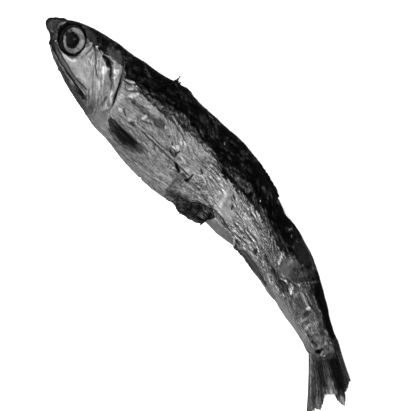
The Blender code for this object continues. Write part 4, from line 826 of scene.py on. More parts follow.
def ease(x):
    """Smooth step from 0 to 1 as x goes from 0 to 1."""
    x = np.clip(x, 0.0, 1.0)
    return x * x * (3 - 2 * x)


def ramp(x, start, full):
    """Smooth step from 0 to 1 as x goes from its start to its full value, up or down."""
    return ease((x - start) / (full - start))


def past(x, band):
    """Smooth step from 0 to 1 over a band of this width, with x = 0 at its middle."""
    return ease(x / band + 0.5)


SPINE_S = np.linspace(0.0, TAIL_REACH, 2201)
SPINE_HEADING = np.radians(
    HEAD_HEADING + (TAIL_HEADING - HEAD_HEADING) * ease((SPINE_S - BEND_START) / (BEND_END - BEND_START))
)
SPINE_STEP = SPINE_S[1] - SPINE_S[0]
SPINE_X = SNOUT_X + np.concatenate([[0.0], np.cumsum(np.cos(SPINE_HEADING[:-1]) * SPINE_STEP)])
SPINE_Y = SNOUT_Y + np.concatenate([[0.0], np.cumsum(np.sin(SPINE_HEADING[:-1]) * SPINE_STEP)])


def place(s, t, z):
    """Points of the part, in metres, from the fish's own measures in millimetres."""
    s, t, z = np.broadcast_arrays(np.asarray(s, float), t, z)
    heading = np.interp(s, SPINE_S, SPINE_HEADING)
    x = np.interp(s, SPINE_S, SPINE_X) + np.minimum(s, 0.0) - np.sin(heading) * t
    y = np.interp(s, SPINE_S, SPINE_Y) + np.cos(heading) * t
    return np.stack([x, y, z], axis=-1) * MM


LATTICE = 512


def lattice_noise(u, v, seed):
    """Seeded smooth noise from -1 to 1, with one value at each corner of a grid of unit squares."""
    corners = np.random.default_rng(seed).uniform(-1.0, 1.0, (LATTICE, LATTICE))
    column, row = np.floor(u).astype(int), np.floor(v).astype(int)
    across, up = ease(u - column), ease(v - row)
    column, row = column % LATTICE, row % LATTICE
    next_column, next_row = (column + 1) % LATTICE, (row + 1) % LATTICE
    low = corners[column, row] * (1 - across) + corners[next_column, row] * across
    high = corners[column, next_row] * (1 - across) + corners[next_column, next_row] * across
    return low * (1 - up) + high * up


def grain(u, v, length, width, seed, octaves=3):
    """Layered noise from about -1 to 1, with grains of this length along u and width along v."""
    total = 0.0
    for octave in range(octaves):
        finer = 2**octave
        total = total + lattice_noise(u * finer / length, v * finer / width, seed + octave) / finer
    return total


def layered(s, t, layers, seed=0, kind=None):
    """Sum of layers of noise, each with its height, length, width, own seed and number of octaves."""
    kind = kind or grain
    total = 0.0
    for height, length, width, own, octaves in layers:
        total = total + height * kind(s, t, length, width, seed + own, octaves)
    return total


def shifted(s, t, shifts, seed=0):
    """The points moved along and across the fish, each by its layers of grain."""
    return s + layered(s, t, shifts[0], seed), t + layered(s, t, shifts[1], seed)


def ridges(u, v, length, width, seed, octaves=3):
    """Noise from about -1 to 1 with narrow crests, like the folds of shrunken skin."""
    total = 0.0
    for octave in range(octaves):
        finer = 2**octave
        crest = 1 - 4 * np.abs(lattice_noise(u * finer / length, v * finer / width, seed + octave))
        total = total + crest / finer
    return total / 2


def curve(points, parts=5):
    """More points on a smooth curve through the given ones."""
    steps = np.arange(len(points))
    fine = np.linspace(0, len(points) - 1, (len(points) - 1) * parts + 1)
    if len(points) == 2:
        return np.stack([np.interp(fine, steps, axis) for axis in np.array(points, float).T], axis=1)
    return np.stack([smooth(list(zip(steps, axis)), fine) for axis in np.array(points, float).T], axis=1)


def distance_to_line(s, t, line):
    """Distance of points (s, t) from a line of points, and how far along the line the nearest point is."""
    nearest = np.full(np.broadcast(s, t).shape, np.inf)
    share = np.zeros(nearest.shape)
    line = np.asarray(line, float)
    lengths = np.hypot(*np.diff(line, axis=0).T)
    reached = np.concatenate([[0.0], np.cumsum(lengths)]) / lengths.sum()
    for k, ((s0, t0), (s1, t1)) in enumerate(zip(line, line[1:])):
        along = ((s - s0) * (s1 - s0) + (t - t0) * (t1 - t0)) / lengths[k] ** 2
        along = np.clip(along, 0.0, 1.0)
        away = np.hypot(s - s0 - along * (s1 - s0), t - t0 - along * (t1 - t0))
        here = reached[k] + along * (reached[k + 1] - reached[k])
        share = np.where(away < nearest, np.clip(here, 0.0, 1.0), share)
        nearest = np.minimum(nearest, away)
    return nearest, share


LINE_REACH = 3.0
LINE_END_SHARE = 0.35


def line_mask(s, t, points, half_width):
    """1 on a line of the skin, fading away from it; the line narrows to both ends."""
    mask = np.zeros(s.shape)
    line = curve(points)
    (low_s, low_t), (high_s, high_t) = line.min(axis=0), line.max(axis=0)
    reach = LINE_REACH * half_width
    near = (s > low_s - reach) & (s < high_s + reach) & (t > low_t - reach) & (t < high_t + reach)
    away, share = distance_to_line(s[near], t[near], line)
    taper = np.sqrt(4 * share * (1 - share))
    width = half_width * (LINE_END_SHARE + (1 - LINE_END_SHARE) * taper)
    mask[near] = np.exp(-((away / width) ** 2))
    return mask


def turned(s, t, centre, turn):
    """Distances from a centre, along and across a direction that is turned by this many degrees."""
    angle = math.radians(turn)
    ds, dt = s - centre[0], t - centre[1]
    return ds * math.cos(angle) + dt * math.sin(angle), dt * math.cos(angle) - ds * math.sin(angle)


def patch_mask(s, t, centre, reach, turn, edge=0.35):
    """1 inside an oval patch, fading over its edge."""
    along, across = turned(s, t, centre, turn)
    return ease((1 + edge - np.hypot(along / reach[0], across / reach[1])) / (2 * edge))


def blend(under, mask, over):
    """One value laid over another through a mask."""
    return under + (over - under) * mask


def painted(tone, mask, level, strength):
    """A tone with a level laid over it through a mask, at a strength in percent."""
    return blend(tone, mask * (strength / 100), level)


def marked(tone, height, s, t, patches, lines):
    """Tone and height with patches and then lines laid over them."""
    masks = [(patch_mask(s, t, centre, reach, turn), *mark) for _, centre, reach, turn, *mark in patches]
    masks += [(line_mask(s, t, points, half_width), *mark) for _, points, half_width, *mark in lines]
    for mask, level, strength, rise in masks:
        tone = painted(tone, mask, level, strength)
        height = height + rise / 100 * mask
    return tone, height


# The skin's form.


def gill_cover(s, t):
    """Height of the gill cover over the shoulder: full at its rear edge, fading forwards over the cheek."""
    ahead = smooth(GILL_COVER_EDGE, t) - s
    from_bottom = ease((t - GILL_COVER_BOTTOM) / GILL_COVER_END_BAND)
    inside = from_bottom * ease((GILL_COVER_TOP - t) / GILL_COVER_END_BAND)
    return GILL_COVER_STEP * inside * past(ahead, GILL_COVER_LIP) * ease(1 - ahead / GILL_COVER_FADE)


def wrinkles(s, t):
    """Long shallow wrinkles on the trunk, which fade into the head and the tail stalk."""
    drift = sum(height * np.sin(pace * s + start) for height, pace, start in WRINKLE_DRIFT)
    fade = ease((s - HEAD_END) / WRINKLE_FADE) * ease((TAIL_ROOT_S - s) / WRINKLE_FADE)
    share, pace_s, pace_t = WRINKLE_SLANT
    wave = np.sin(2 * math.pi * (t + drift) / WRINKLE_PITCH) + share * np.sin(pace_s * s + pace_t * t)
    return WRINKLE_HEIGHT * fade * wave


def broad_relief(s, t):
    """Height of the folds, hollows and plates that the solids have too."""
    height = gill_cover(s, t) + wrinkles(s, t)
    for _, line, depth, half_width in FURROWS:
        height = height - depth * np.exp(-((distance_to_line(s, t, line)[0] / half_width) ** 2))
    for _, (centre_s, centre_t), (reach_s, reach_t), rise in HOLLOWS:
        away = ((s - centre_s) / reach_s) ** 2 + ((t - centre_t) / reach_t) ** 2
        height = height + rise * np.exp(-away)
    return height


def skin_height(s, t, side, fine=0.0):
    """Height z of the skin at (s, t) on the upper or the lower side, which is flat on the table."""
    s = np.asarray(s, float)
    back, belly = smooth(BACK_EDGE, s), smooth(BELLY_EDGE, s)
    across = np.clip((t - (back + belly) / 2) / ((back - belly) / 2), -1.0, 1.0)
    square = HEAD_SQUARENESS + (BODY_SQUARENESS - HEAD_SQUARENESS) * ease(s / HEAD_END)
    roundness = BELLY_ROUNDNESS + (BACK_ROUNDNESS - BELLY_ROUNDNESS) * (across + 1) / 2
    fullness = (1 - np.abs(across) ** square) ** roundness
    half = smooth(HALF_THICKNESS, s)
    folds = (broad_relief(s, t) + fine) * fullness * ease(half / THIN_BODY)
    raised = smooth(MID_HEIGHT, s) + side * (half * fullness + folds)
    return np.maximum(raised, 0.0)


# Tones and fine relief of the skin.

CHEEK_RUN = (1.0, -1.15)
TRUNK_RUN_WIDTH = 9.0
TRUNK_RUN_DRIFT = ((0.35, 5.0, 2.4, 301, 2),)
SLANT_RAMP = (-0.35, 0.15)
NOISE_SEEDS = {LEFT: 400, RIGHT: 900}

# Regions of the skin: where each begins and where it is full, along the fish or above its belly's edge.
COVER_BAND = 0.5
CHEEK_RAMP = (8.6, 10.6)
HATCHED_RAMP = (11.8, 13.8)
TRUNK_RAMP = (0.0, 1.6)
REAR_RAMPS = ((51.0, 56.0), (68.0, 65.0))
STALK_RAMP = (79.0, 82.0)
MUZZLE_RAMP = (4.8, 3.3)
NETTED_OVAL = ((45.0, 0.6), (4.5, 2.2), -6, 0.5)
BELLY_RAMP = (2.2, 0.6)
BELLY_SHARE = 0.85
BELLY_CRUMPLE = 0.4
MINGLED_CRUMPLE = 1.15
LEAST_TRUNK_TEXTURE = 0.05

# Grains, each layer with its height, length and width in mm, seed and octaves: how patches and lines
# wander, and how ragged the dark edge is.
PATCH_WANDER = (
    ((0.16, 1.5, 0.9, 1, 3), (0.07, 0.45, 0.35, 4, 2)),
    ((0.13, 1.3, 0.8, 5, 3), (0.07, 0.45, 0.35, 8, 2)),
)
LINE_WANDER = (((0.06, 0.7, 0.5, 95, 2),), ((0.06, 0.7, 0.5, 97, 2),))
DARK_EDGE_RAGS = ((0.34, 1.6, 0.7, 70, 3), (0.2, 0.5, 0.3, 74, 2))

# Noises of the skin: kind, ground, grain along and across in mm, seed, octaves.
SKIN_NOISES = {
    "long fibres": (grain, "run", 4.5, 0.5, 10, 3),
    "short fibres": (ridges, "run", 1.3, 0.42, 20, 3),
    "strokes": (ridges, "run", 4.2, 0.46, 25, 2),
    "fine": (grain, "run", 0.8, 0.3, 65, 2),
    "mottle": (grain, "plain", 1.7, 1.1, 30, 3),
    "lumps": (grain, "plain", 0.8, 0.7, 60, 3),
    "crust": (grain, "plain", 0.9, 0.7, 80, 3),
    "thin places": (grain, "plain", 2.4, 1.1, 85, 3),
    "net": (ridges, "bent", 0.85, 0.6, 40, 2),
    "scab": (ridges, "bent", 1.5, 0.9, 90, 3),
    "comb breaks": (grain, "run", 2.2, 0.6, 45, 2),
    "comb drift": (grain, "plain", 2.2, 1.1, 48, 2),
}
# Share of each noise in the tone and, in mm, in the relief of a kind of skin.
# Where a noise raises the skin it also lightens the tone: partly painted light on crests and shade in
# grooves.
TRUNK_SHARES = {
    "long fibres": (0.15, 0.10), "short fibres": (0.14, 0.11), "mottle": (0.10, 0.0), "fine": (0.12, 0.05),
}
REAR_SHARES = {
    "long fibres": (0.15, 0.10), "short fibres": (0.042, 0.033), "strokes": (0.15, 0.077),
    "mottle": (0.05, 0.0), "fine": (0.12, 0.05),
}
REGION_SHARES = {
    "whole": {"mottle": (0.0, 0.03)},
    "cheek": {"mottle": (0.11, 0.0), "lumps": (0.09, 0.0)},
    "hatched": {"long fibres": (0.10, 0.10), "mottle": (0.05, 0.0), "fine": (0.03, 0.0)},
    "netted": {"net": (0.10, 0.06)},
    "stalk": {"lumps": (0.34, 0.14), "net": (0.16, 0.0)},
    "muzzle": {"lumps": (0.22, 0.0), "net": (0.14, 0.0)},
}
BELLY_SHARES = {"mottle": (0.06, 0.0), "long fibres": (0.05, 0.0)}
MINGLED_SHARES = {"crust": (0.30, 0.0), "short fibres": (0.22, 0.0)}
# On the dark back the crust, scab and fibre mottles are partly rough skin and partly painted glints of
# reflected light.
BACK_SHARES = {"crust": (0.42, 0.12), "scab": (0.42, 0.08)}
BACK_PATCH_SHARES = {"crust": (0.25, 0.0), "short fibres": (0.2, 0.0)}

# The dark back: how its edges fade, and how much lighter its thin places and streaks are.
# Its lighter streaks and thin places are partly the skin's own and partly painted glints of reflected light.
MINGLED_FADE = 0.3
DARK_FADE = 0.6
ON_THE_BACK = 0.5
THIN_RAMP = (0.1, 0.7)
THIN_LIGHT = 14
STREAK_GRAIN = (1.5, 0.5, 87, 2)
STREAK_CRUST = 0.2
STREAK_RAMP = (-0.15, 0.95)
STREAK_LIGHT = 22

SOFT_EDGE = 0.5
COMB_BREAKS = (0.7, 0.8)
COMB_DRIFT = 0.7
COMB_HEIGHT = 0.2
SMOOTH_CRUMPLE = 0.15
SMOOTH_TEXTURE = 0.35
FLECK_AND_GLINT_SHAPE = (0.8, 30)
FLECK_AND_GLINT_HEIGHT = 0.06
BRIGHT_LIMIT = 0.5
TEXTURE_RANGE = (0.15, 2.0)
FLESH_RAGS = 0.9
FLESH_FADE = 0.5
ORBIT_RAGS = 0.4
ORBIT_FADE = 0.3
ORBIT_SKIN_AND_SHADE_TONE = 20.0
ORBIT_CRUST = 0.6
SKIN_TONES = (4.0, 245.0)


def slant_drop(s):
    """How far a slanting crumple has dropped at s, in millimetres."""
    slope = np.tan(np.radians(smooth(SLANT, SPINE_S)))
    return -np.interp(s, SPINE_S, np.cumsum(slope) * SPINE_STEP)


def skin_run(s, t):
    """Two coordinates along and across the crumples of the skin, in millimetres."""
    back, belly = smooth(BACK_EDGE, s), smooth(BELLY_EDGE, s)
    across = (t - (back + belly) / 2) / ((back - belly) / 2)
    drop = slant_drop(s) * ramp(across, *SLANT_RAMP)
    flow = TRUNK_RUN_WIDTH * across + drop + layered(s, t, TRUNK_RUN_DRIFT)
    length = math.hypot(*CHEEK_RUN)
    on_cover = s < smooth(GILL_COVER_EDGE, t)
    along = np.where(on_cover, (s * CHEEK_RUN[0] + t * CHEEK_RUN[1]) / length, s)
    return along, np.where(on_cover, (t * CHEEK_RUN[0] - s * CHEEK_RUN[1]) / length, flow)


def skin_regions(s, t, side):
    """How much each point belongs to each region of the skin, from 0 to 1."""
    on_cover = ease((smooth(GILL_COVER_EDGE, t) - s) / COVER_BAND)
    cheek = on_cover * ramp(s, *CHEEK_RAMP)
    return {
        "whole": 1.0,
        "cheek": cheek,
        "hatched": cheek * ramp(s, *HATCHED_RAMP),
        "muzzle": ramp(s, *MUZZLE_RAMP),
        "trunk": (1 - on_cover) * ramp(t - smooth(BELLY_EDGE, s), *TRUNK_RAMP),
        "rear": ramp(s, *REAR_RAMPS[0]) * ramp(s, *REAR_RAMPS[1]),
        "stalk": ramp(s, *STALK_RAMP),
        "netted": patch_mask(s, t, *NETTED_OVAL) * (side == LEFT),
    }


def mixed(noises, shares):
    """The texture and the relief that a kind of skin has from its shares of the noises."""
    return sum(np.array(pair)[:, None, None] * noises[name] for name, pair in shares.items())


def skin_ground(s, t, bent, noises, regions, seed):
    """Tone, texture, relief and crumple of the skin without its single marks, and where its back is dark."""
    crumple = smooth(CRUMPLE, s)
    trunk = blend(mixed(noises, TRUNK_SHARES), regions["rear"], mixed(noises, REAR_SHARES))
    surface = trunk * regions["trunk"] * np.stack([LEAST_TRUNK_TEXTURE + crumple, crumple])
    for region, shares in REGION_SHARES.items():
        surface = surface + regions[region] * mixed(noises, shares)
    texture, height = surface

    at_belly = ramp(bent[1] - smooth(BELLY_EDGE, s), *BELLY_RAMP)
    tone = blend(smooth(FLANK_TONE, s), at_belly * BELLY_SHARE, smooth(BELLY_TONE, s))
    texture = blend(texture, at_belly, mixed(noises, BELLY_SHARES)[0])
    crumple = blend(crumple, at_belly, BELLY_CRUMPLE)

    above = t + layered(s, t, DARK_EDGE_RAGS, seed) - smooth(DARK_EDGE, s)
    mingled = past(above, MINGLED_FADE)
    dark = past(above - smooth(MINGLED_WIDTH, s), DARK_FADE)
    along, flow = skin_run(s, t)
    length, width, own, octaves = STREAK_GRAIN
    streaks = grain(along, flow + STREAK_CRUST * noises["crust"], length, width, seed + own, octaves)
    thin = ramp(noises["thin places"], *THIN_RAMP)
    # Thin places and streaks of the dark back, lighter partly through painted glints.
    lighter = THIN_LIGHT * thin + STREAK_LIGHT * ramp(streaks, *STREAK_RAMP)
    tone = blend(blend(tone, mingled, smooth(MINGLED_TONE, s)), dark, smooth(BACK_TONE, s) + lighter)
    texture = blend(texture, mingled, mixed(noises, MINGLED_SHARES)[0])
    texture, height = blend(np.stack([texture, height]), dark, mixed(noises, BACK_SHARES))
    return tone, texture, height, blend(crumple, mingled, MINGLED_CRUMPLE), dark


def skin_marks(s, t, bent, noises, ground, side):
    """The same ground with the patches, combs, smooth places, lines, flecks and painted glints of one side.
    """
    tone, texture, height, crumple, dark = ground
    upper = side == LEFT
    on_back = mixed(noises, BACK_PATCH_SHARES)[0]
    for _, centre, reach, turn, level, strength, rise in BOTH_SIDES_PATCHES + LEFT_PATCHES * upper:
        mask = patch_mask(*bent, centre, reach, turn)
        tone = painted(tone, mask, level, strength)
        texture = painted(texture, mask * (dark > ON_THE_BACK), on_back, strength)
        height = height + rise / 100 * mask
    broken = COMB_BREAKS[0] + COMB_BREAKS[1] * noises["comb breaks"]
    for _, centre, reach, turn, pitch, strength in COMBS * upper:
        mask = patch_mask(s, t, centre, reach, turn, SOFT_EDGE) * strength
        across = turned(s, t, centre, turn)[1]
        # Each fold is raised and lighter on its crest, sunk and darker in its trough: partly painted light
        # and shade.
        comb = np.cos(2 * math.pi * (across / pitch + COMB_DRIFT * noises["comb drift"])) * broken
        texture = texture + mask * comb
        height = height + COMB_HEIGHT * mask * comb
    for oval in SMOOTH_PLACES:
        mask = patch_mask(s, t, *oval)
        crumple = blend(crumple, mask, SMOOTH_CRUMPLE)
        texture = blend(texture, mask, SMOOTH_TEXTURE * texture)
    wandering = shifted(s, t, LINE_WANDER, NOISE_SEEDS[side])
    tone, height = marked(tone, height, *wandering, (), BOTH_SIDES_LINES + LEFT_LINES * upper)
    # Flecks of skin, the brightest of them painted glints.
    narrowing, turn = FLECK_AND_GLINT_SHAPE
    for centre, size, level in FLECKS_AND_GLINTS * upper:
        mask = patch_mask(*wandering, centre, (size, size * narrowing), turn, SOFT_EDGE)
        tone = blend(tone, mask, level)
        height = height + FLECK_AND_GLINT_HEIGHT * mask
    return tone, texture, height, crumple


def skin_detail(s, t, side):
    """Tone (0 to 255), strength of the fine crumples and fine height (mm) of the skin on one side."""
    seed = NOISE_SEEDS[side]
    bent = shifted(s, t, PATCH_WANDER, seed)
    grounds = {"plain": (s, t), "bent": bent, "run": skin_run(s, t)}
    noises = {
        name: kind(*grounds[ground], length, width, seed + own, octaves)
        for name, (kind, ground, length, width, own, octaves) in SKIN_NOISES.items()
    }
    ground = skin_ground(s, t, bent, noises, skin_regions(s, t, side), seed)
    tone, texture, height, crumple = skin_marks(s, t, bent, noises, ground, side)
    texture = np.where(texture > 0, BRIGHT_LIMIT * np.tanh(texture / BRIGHT_LIMIT), texture)
    tone = tone * np.clip(1 + texture, *TEXTURE_RANGE)

    past_flesh = past(s + FLESH_RAGS * noises["lumps"] - smooth(FLESH_END, t), FLESH_FADE)
    tone = blend(tone, past_flesh, tail_tone(s, t, tail_share(s, t)))
    # The dark ring round the eye: its own dark skin and painted shade of the gap round the eyeball.
    orbit_s, orbit_t = blend(s, ORBIT_RAGS, bent[0]) - ORBIT_S, blend(t, ORBIT_RAGS, bent[1]) - ORBIT_T
    reach = ORBIT_RADIUS + ORBIT_OVAL * np.cos(2 * (np.arctan2(orbit_t, orbit_s) - ORBIT_TURN))
    in_orbit = past(reach - np.hypot(orbit_s, orbit_t), ORBIT_FADE)
    tone = blend(tone, in_orbit, ORBIT_SKIN_AND_SHADE_TONE * (1 + ORBIT_CRUST * noises["crust"]))
    return np.clip(tone, *SKIN_TONES), crumple, height * (1 - past_flesh)


def eye_plane(side):
    """Height of an eye socket's rim at the eye's middle, and its slopes along s and t."""
    reach = SOCKET_RADIUS
    front, rear = (float(skin_height(EYE_S + d, EYE_T, side)) for d in (-reach, reach))
    low, high = (float(skin_height(EYE_S, EYE_T + d, side)) for d in (-reach, reach))
    return (front + rear + low + high) / 4, (rear - front) / (2 * reach), (high - low) / (2 * reach)


def sink_socket(s, t, z, side):
    """Skin height with the round socket of the eye sunk into it."""
    middle, slope_s, slope_t = eye_plane(side)
    rim = middle + slope_s * (s - EYE_S) + slope_t * (t - EYE_T)
    radius = np.hypot(s - EYE_S, t - EYE_T)
    inside = ease((SOCKET_RADIUS - radius) / SOCKET_WALL)
    return np.maximum(blend(z, inside, rim - side * SOCKET_DEPTH), 0.0)


# Meshes.


def mesh_object(name, measures, faces, run, tone, crumple):
    """New smooth object from its points' measures, with the run of its fibres, tone and crumple at each."""
    mesh = bpy.data.meshes.new(name)
    mesh.from_pydata(place(*measures.T).tolist(), [], faces)
    mesh.shade_smooth()
    mesh.attributes.new("run_mm", "FLOAT_VECTOR", "POINT").data.foreach_set("vector", np.ravel(run))
    mesh.attributes.new("tone", "FLOAT", "POINT").data.foreach_set("value", np.ravel(tone) / WHITE)
    mesh.attributes.new("crumple", "FLOAT", "POINT").data.foreach_set("value", np.ravel(crumple))
    made = bpy.data.objects.new(name, mesh)
    bpy.context.scene.collection.objects.link(made)
    return made


def grid_faces(rows, columns, closed_columns=False, first=0):
    """Faces of a grid of points, row after row; its last column may join the first."""
    below = np.arange(rows - 1)[:, None] * columns
    here = np.arange(columns if closed_columns else columns - 1)
    there = (here + 1) % columns
    corners = [below + here, below + there, below + there + columns, below + here + columns]
    corners = np.stack(corners, axis=-1)
    return (corners.reshape(-1, 4) + first).tolist()


def closed_tube(name, s, t, z, tone, crumple=1.0, run=None):
    """Closed solid through rings of points, one ring to a row, with a fan of triangles at each end."""
    rows, columns = s.shape
    run = (s, t, z) if run is None else (*run, z)

    def with_ends(grid):
        grid = np.broadcast_to(grid, s.shape)
        return np.concatenate([grid.ravel(), [grid[0].mean(), grid[-1].mean()]])

    measures = np.stack([with_ends(grid) for grid in (s, t, z)], axis=-1)
    fibres = np.stack([with_ends(grid) for grid in run], axis=-1)
    faces = grid_faces(rows, columns, closed_columns=True)
    front, rear, last = rows * columns, rows * columns + 1, (rows - 1) * columns
    for k in range(columns):
        following = (k + 1) % columns
        faces.append((following, k, front))
        faces.append((last + k, last + following, rear))
    return mesh_object(name, measures, faces, fibres, with_ends(tone), with_ends(crumple))


def closed_sheet(name, s, t, outer, inner, tone, crumple=1.0):
    """Thin closed solid between two grids of points."""
    s, t, outer, inner = np.broadcast_arrays(s, t, outer, inner)
    rows, columns = s.shape
    under = rows * columns
    measures = np.concatenate([np.stack([s, t, z], axis=-1).reshape(-1, 3) for z in (outer, inner)])
    faces = grid_faces(rows, columns)
    faces += [face[::-1] for face in grid_faces(rows, columns, first=under)]
    rim = list(range(columns))
    rim += [i * columns + columns - 1 for i in range(1, rows)]
    rim += [(rows - 1) * columns + j for j in range(columns - 2, -1, -1)]
    rim += [i * columns for i in range(rows - 2, 0, -1)]
    faces += [(there, here, under + here, under + there) for here, there in zip(rim, rim[1:] + rim[:1])]
    tone, crumple = (np.tile(np.broadcast_to(value, s.shape).ravel(), 2) for value in (tone, crumple))
    return mesh_object(name, measures, faces, measures, tone, crumple)


SNOUT_TIP = -0.6
HEAD_STEP = 0.145
TRUNK_STEP = 0.245
UPPER_POINTS = 158
LOWER_POINTS = 58
# The outline is a little rough, most of all along the lower jaw, and the belly has one nick.
EDGE_GRAIN = ((0.05, 0.9, 40.0, 31, 2),)
JAW_ROUGHNESS = 0.8
JAW_RAMPS = ((2.8, 3.3), (11.0, 9.0))
BELLY_NICK_S = 34.85
BELLY_NICK_DEPTH = 0.35
BELLY_NICK_HALF = 0.22
BELLY_NICK_RAMP = (0.5, 1.0)
CRISPNESS = 0.7
CRISP_RANGE = (0.5, 1.25)
CRISP_TONES = (3.0, 226.0)


def crisper(tone):
    """The tones with more contrast between each point and its near neighbours."""
    around = sum(np.roll(tone, step, axis) for step in (-2, -1, 1, 2) for axis in (0, 1)) / 8
    around[:2], around[-2:] = tone[:2], tone[-2:]
    least, most = CRISP_RANGE
    crisp = np.clip(tone + CRISPNESS * (tone - around), least * tone, most * tone)
    return np.clip(crisp, *CRISP_TONES)


def skin():
    """Skin of body and head with both eye sockets, one closed piece."""
    head = np.arange(SNOUT_TIP, HEAD_END, HEAD_STEP)
    trunk = np.linspace(HEAD_END, BODY_LENGTH, round((BODY_LENGTH - HEAD_END) / TRUNK_STEP) + 1)
    stations = np.concatenate([head, trunk])[:, None]
    upper = np.linspace(0.0, math.pi, UPPER_POINTS + 1)
    lower = np.linspace(math.pi, 2 * math.pi, LOWER_POINTS + 1)[1:-1]
    across = np.cos(np.concatenate([upper, lower]))[None, :]
    back, belly = smooth(BACK_EDGE, stations), smooth(BELLY_EDGE, stations)
    t = (back + belly) / 2 + (back - belly) / 2 * across
    s = np.repeat(stations, across.size, axis=1)
    jaw = ramp(s, *JAW_RAMPS[0]) * ramp(s, *JAW_RAMPS[1]) * (across < 0)
    t = t + (1 + JAW_ROUGHNESS * jaw) * across * layered(s, t, EDGE_GRAIN)
    nick = ramp(-across, *BELLY_NICK_RAMP) * np.exp(-(((s - BELLY_NICK_S) / BELLY_NICK_HALF) ** 2))
    t = t + BELLY_NICK_DEPTH * nick
    z, tone, crumple = np.zeros(s.shape), np.zeros(s.shape), np.zeros(s.shape)
    for side, columns in ((LEFT, slice(0, upper.size)), (RIGHT, slice(upper.size, None))):
        part = (slice(None), columns)
        tone[part], crumple[part], fine = skin_detail(s[part], t[part], side)
        z[part] = sink_socket(s[part], t[part], skin_height(s[part], t[part], side, fine), side)
    return closed_tube("skin", s, t, z, crisper(tone), crumple, skin_run(s, t))


TAIL_ROWS = 90
TAIL_COLUMNS = 190
TAIL_RAYS = 19
TAIL_FRAY = 0.45
TAIL_FRAY_SEED = 77
RAY_HEIGHT = 0.09
RAYS_FULL_AT = 1 / 3
RAY_FORK_RAMP = (2.4, 10.4)
RAY_CONTRAST = 0.10
STREAKS_ACROSS = 60
TAIL_STREAKS = ((0.26, 3.0, 1.0, 83, 3),)
TAIL_SPECKS = ((0.1, 0.7, 0.5, 84, 3),)
TAIL_CREASES = ((0.06, 1.6, 0.8, 79, 3),)
TAIL_WANDER = (((0.2, 1.0, 0.6, 85, 3),), ((0.1, 1.0, 0.5, 88, 3),))
TAIL_TONE = 66.0
TAIL_TONES = (5, 190)
# Marks on the tail fin, as on the skin but without a height.
# The pale patches on the thin skin and at the upper lobe's tip are painted light shining through the fin.
TAIL_PATCHES = (
    ("upper lobe edge", (90.5, 3.75), (5.5, 0.75), -2, 52, 90),
    ("upper lobe", (92.1, 2.1), (4.3, 1.05), -3, 21, 97),
    ("upper edge root", (86.3, 3.9), (1.5, 0.7), 0, 34, 85),
    ("flesh end mottle", (88.1, 1.9), (0.75, 0.8), 0, 58, 85),
    ("upper lobe end", (96.1, 1.7), (0.9, 1), -10, 52, 85),
    ("upper lobe tip", (97.6, 1.3), (1.25, 0.65), -2, 132, 90),
    ("root dusk", (88.6, 0.1), (1.8, 1.2), 0, 50, 80),
    ("middle membrane", (94.1, 0.3), (2, 0.85), -8, 134, 90),
    ("middle membrane front", (90.8, 0.8), (2.2, 0.5), -4, 72, 80),
    ("middle dark", (91.2, -0.9), (2.7, 0.7), -16, 38, 85),
    ("lower lobe", (93, -3), (5.5, 1.1), -19, 74, 80),
    ("lower lobe end", (96.6, -4.2), (1.2, 1.9), -20, 98, 75),
    ("lobe dark streak", (93.1, -2.38), (1.9, 0.36), -15, 18, 97),
    ("lobe border dark", (93.6, 1.15), (1.4, 0.22), -6, 30, 85),
    ("membrane end", (95.3, 0.1), (0.7, 0.8), 0, 160, 80),
    ("membrane low", (94.6, -1.15), (0.9, 0.4), -14, 136, 85),
    ("lobe top edge", (95.8, -2), (0.8, 0.3), -30, 112, 75),
    ("lobe end light", (97, -4.2), (0.7, 0.9), -20, 130, 80),
    ("root low dark", (90, -1.3), (1.6, 0.45), -18, 44, 80),
)
TAIL_LINES = (
    ("lower edge ray", ((86.4, -1.6), (88, -1.95), (90, -2.6), (94, -4.25), (98.6, -6.3)), 0.42, 112, 90),
    ("lower edge shadow", ((87.5, -1.5), (91, -2.55), (95, -3.95), (98, -5.2)), 0.2, 48, 65),
    ("ray light 1", ((90.4, -1.85), (93, -2.5), (97.4, -4)), 0.14, 108, 70),
    ("ray light 2", ((92, -1.9), (94, -2.4), (97.6, -3.4)), 0.12, 114, 70),
    ("ray light 3", ((92, -1.2), (94, -1.6), (96.6, -2.4)), 0.12, 92, 60),
    ("ray dark 1", ((89, -1.7), (93, -2.8), (97.8, -4.7)), 0.13, 36, 70),
    ("ray dark 2", ((90.5, -1.1), (93, -1.6), (96.8, -2.7)), 0.14, 34, 75),
    ("lobe border", ((88.9, 1.15), (91, 1.05), (95.2, 0.85)), 0.16, 24, 70),
    ("membrane ray 1", ((89, 0.7), (92, 0.5), (95.6, 0.3)), 0.12, 96, 60),
    ("membrane ray 2", ((90, -0.1), (92.6, -0.4), (95.4, -0.9)), 0.1, 84, 60),
    ("membrane slit", ((91.4, -0.6), (93.4, -0.9), (95.2, -1.3)), 0.12, 40, 70),
    ("top ray", ((87, 4.2), (91, 4.05), (94.6, 3.95)), 0.14, 70, 60),
    ("top edge light", ((88.2, 4.1), (90.7, 4.1), (92.6, 4), (94.2, 3.9)), 0.3, 72, 70),
    ("top ray dark", ((87.4, 3.3), (91, 3.2), (95.6, 2.9)), 0.16, 18, 70),
    ("tip crack", ((95.9, 2.9), (95.85, 1.9), (95.95, 0.6)), 0.12, 22, 70),
)


def tail_share(s, t):
    """Place across the tail fin, from 0 at its upper edge to 1 at its lower edge."""
    along = (s - TAIL_ROOT_S) / (TAIL_TIPS[-1][0] - TAIL_ROOT_S)
    top = TAIL_ROOT_TOP + (TAIL_TIPS[0][1] - TAIL_ROOT_TOP) * along
    bottom = TAIL_ROOT_BOTTOM + (TAIL_TIPS[-1][1] - TAIL_ROOT_BOTTOM) * along
    return (top - t) / (top - bottom)


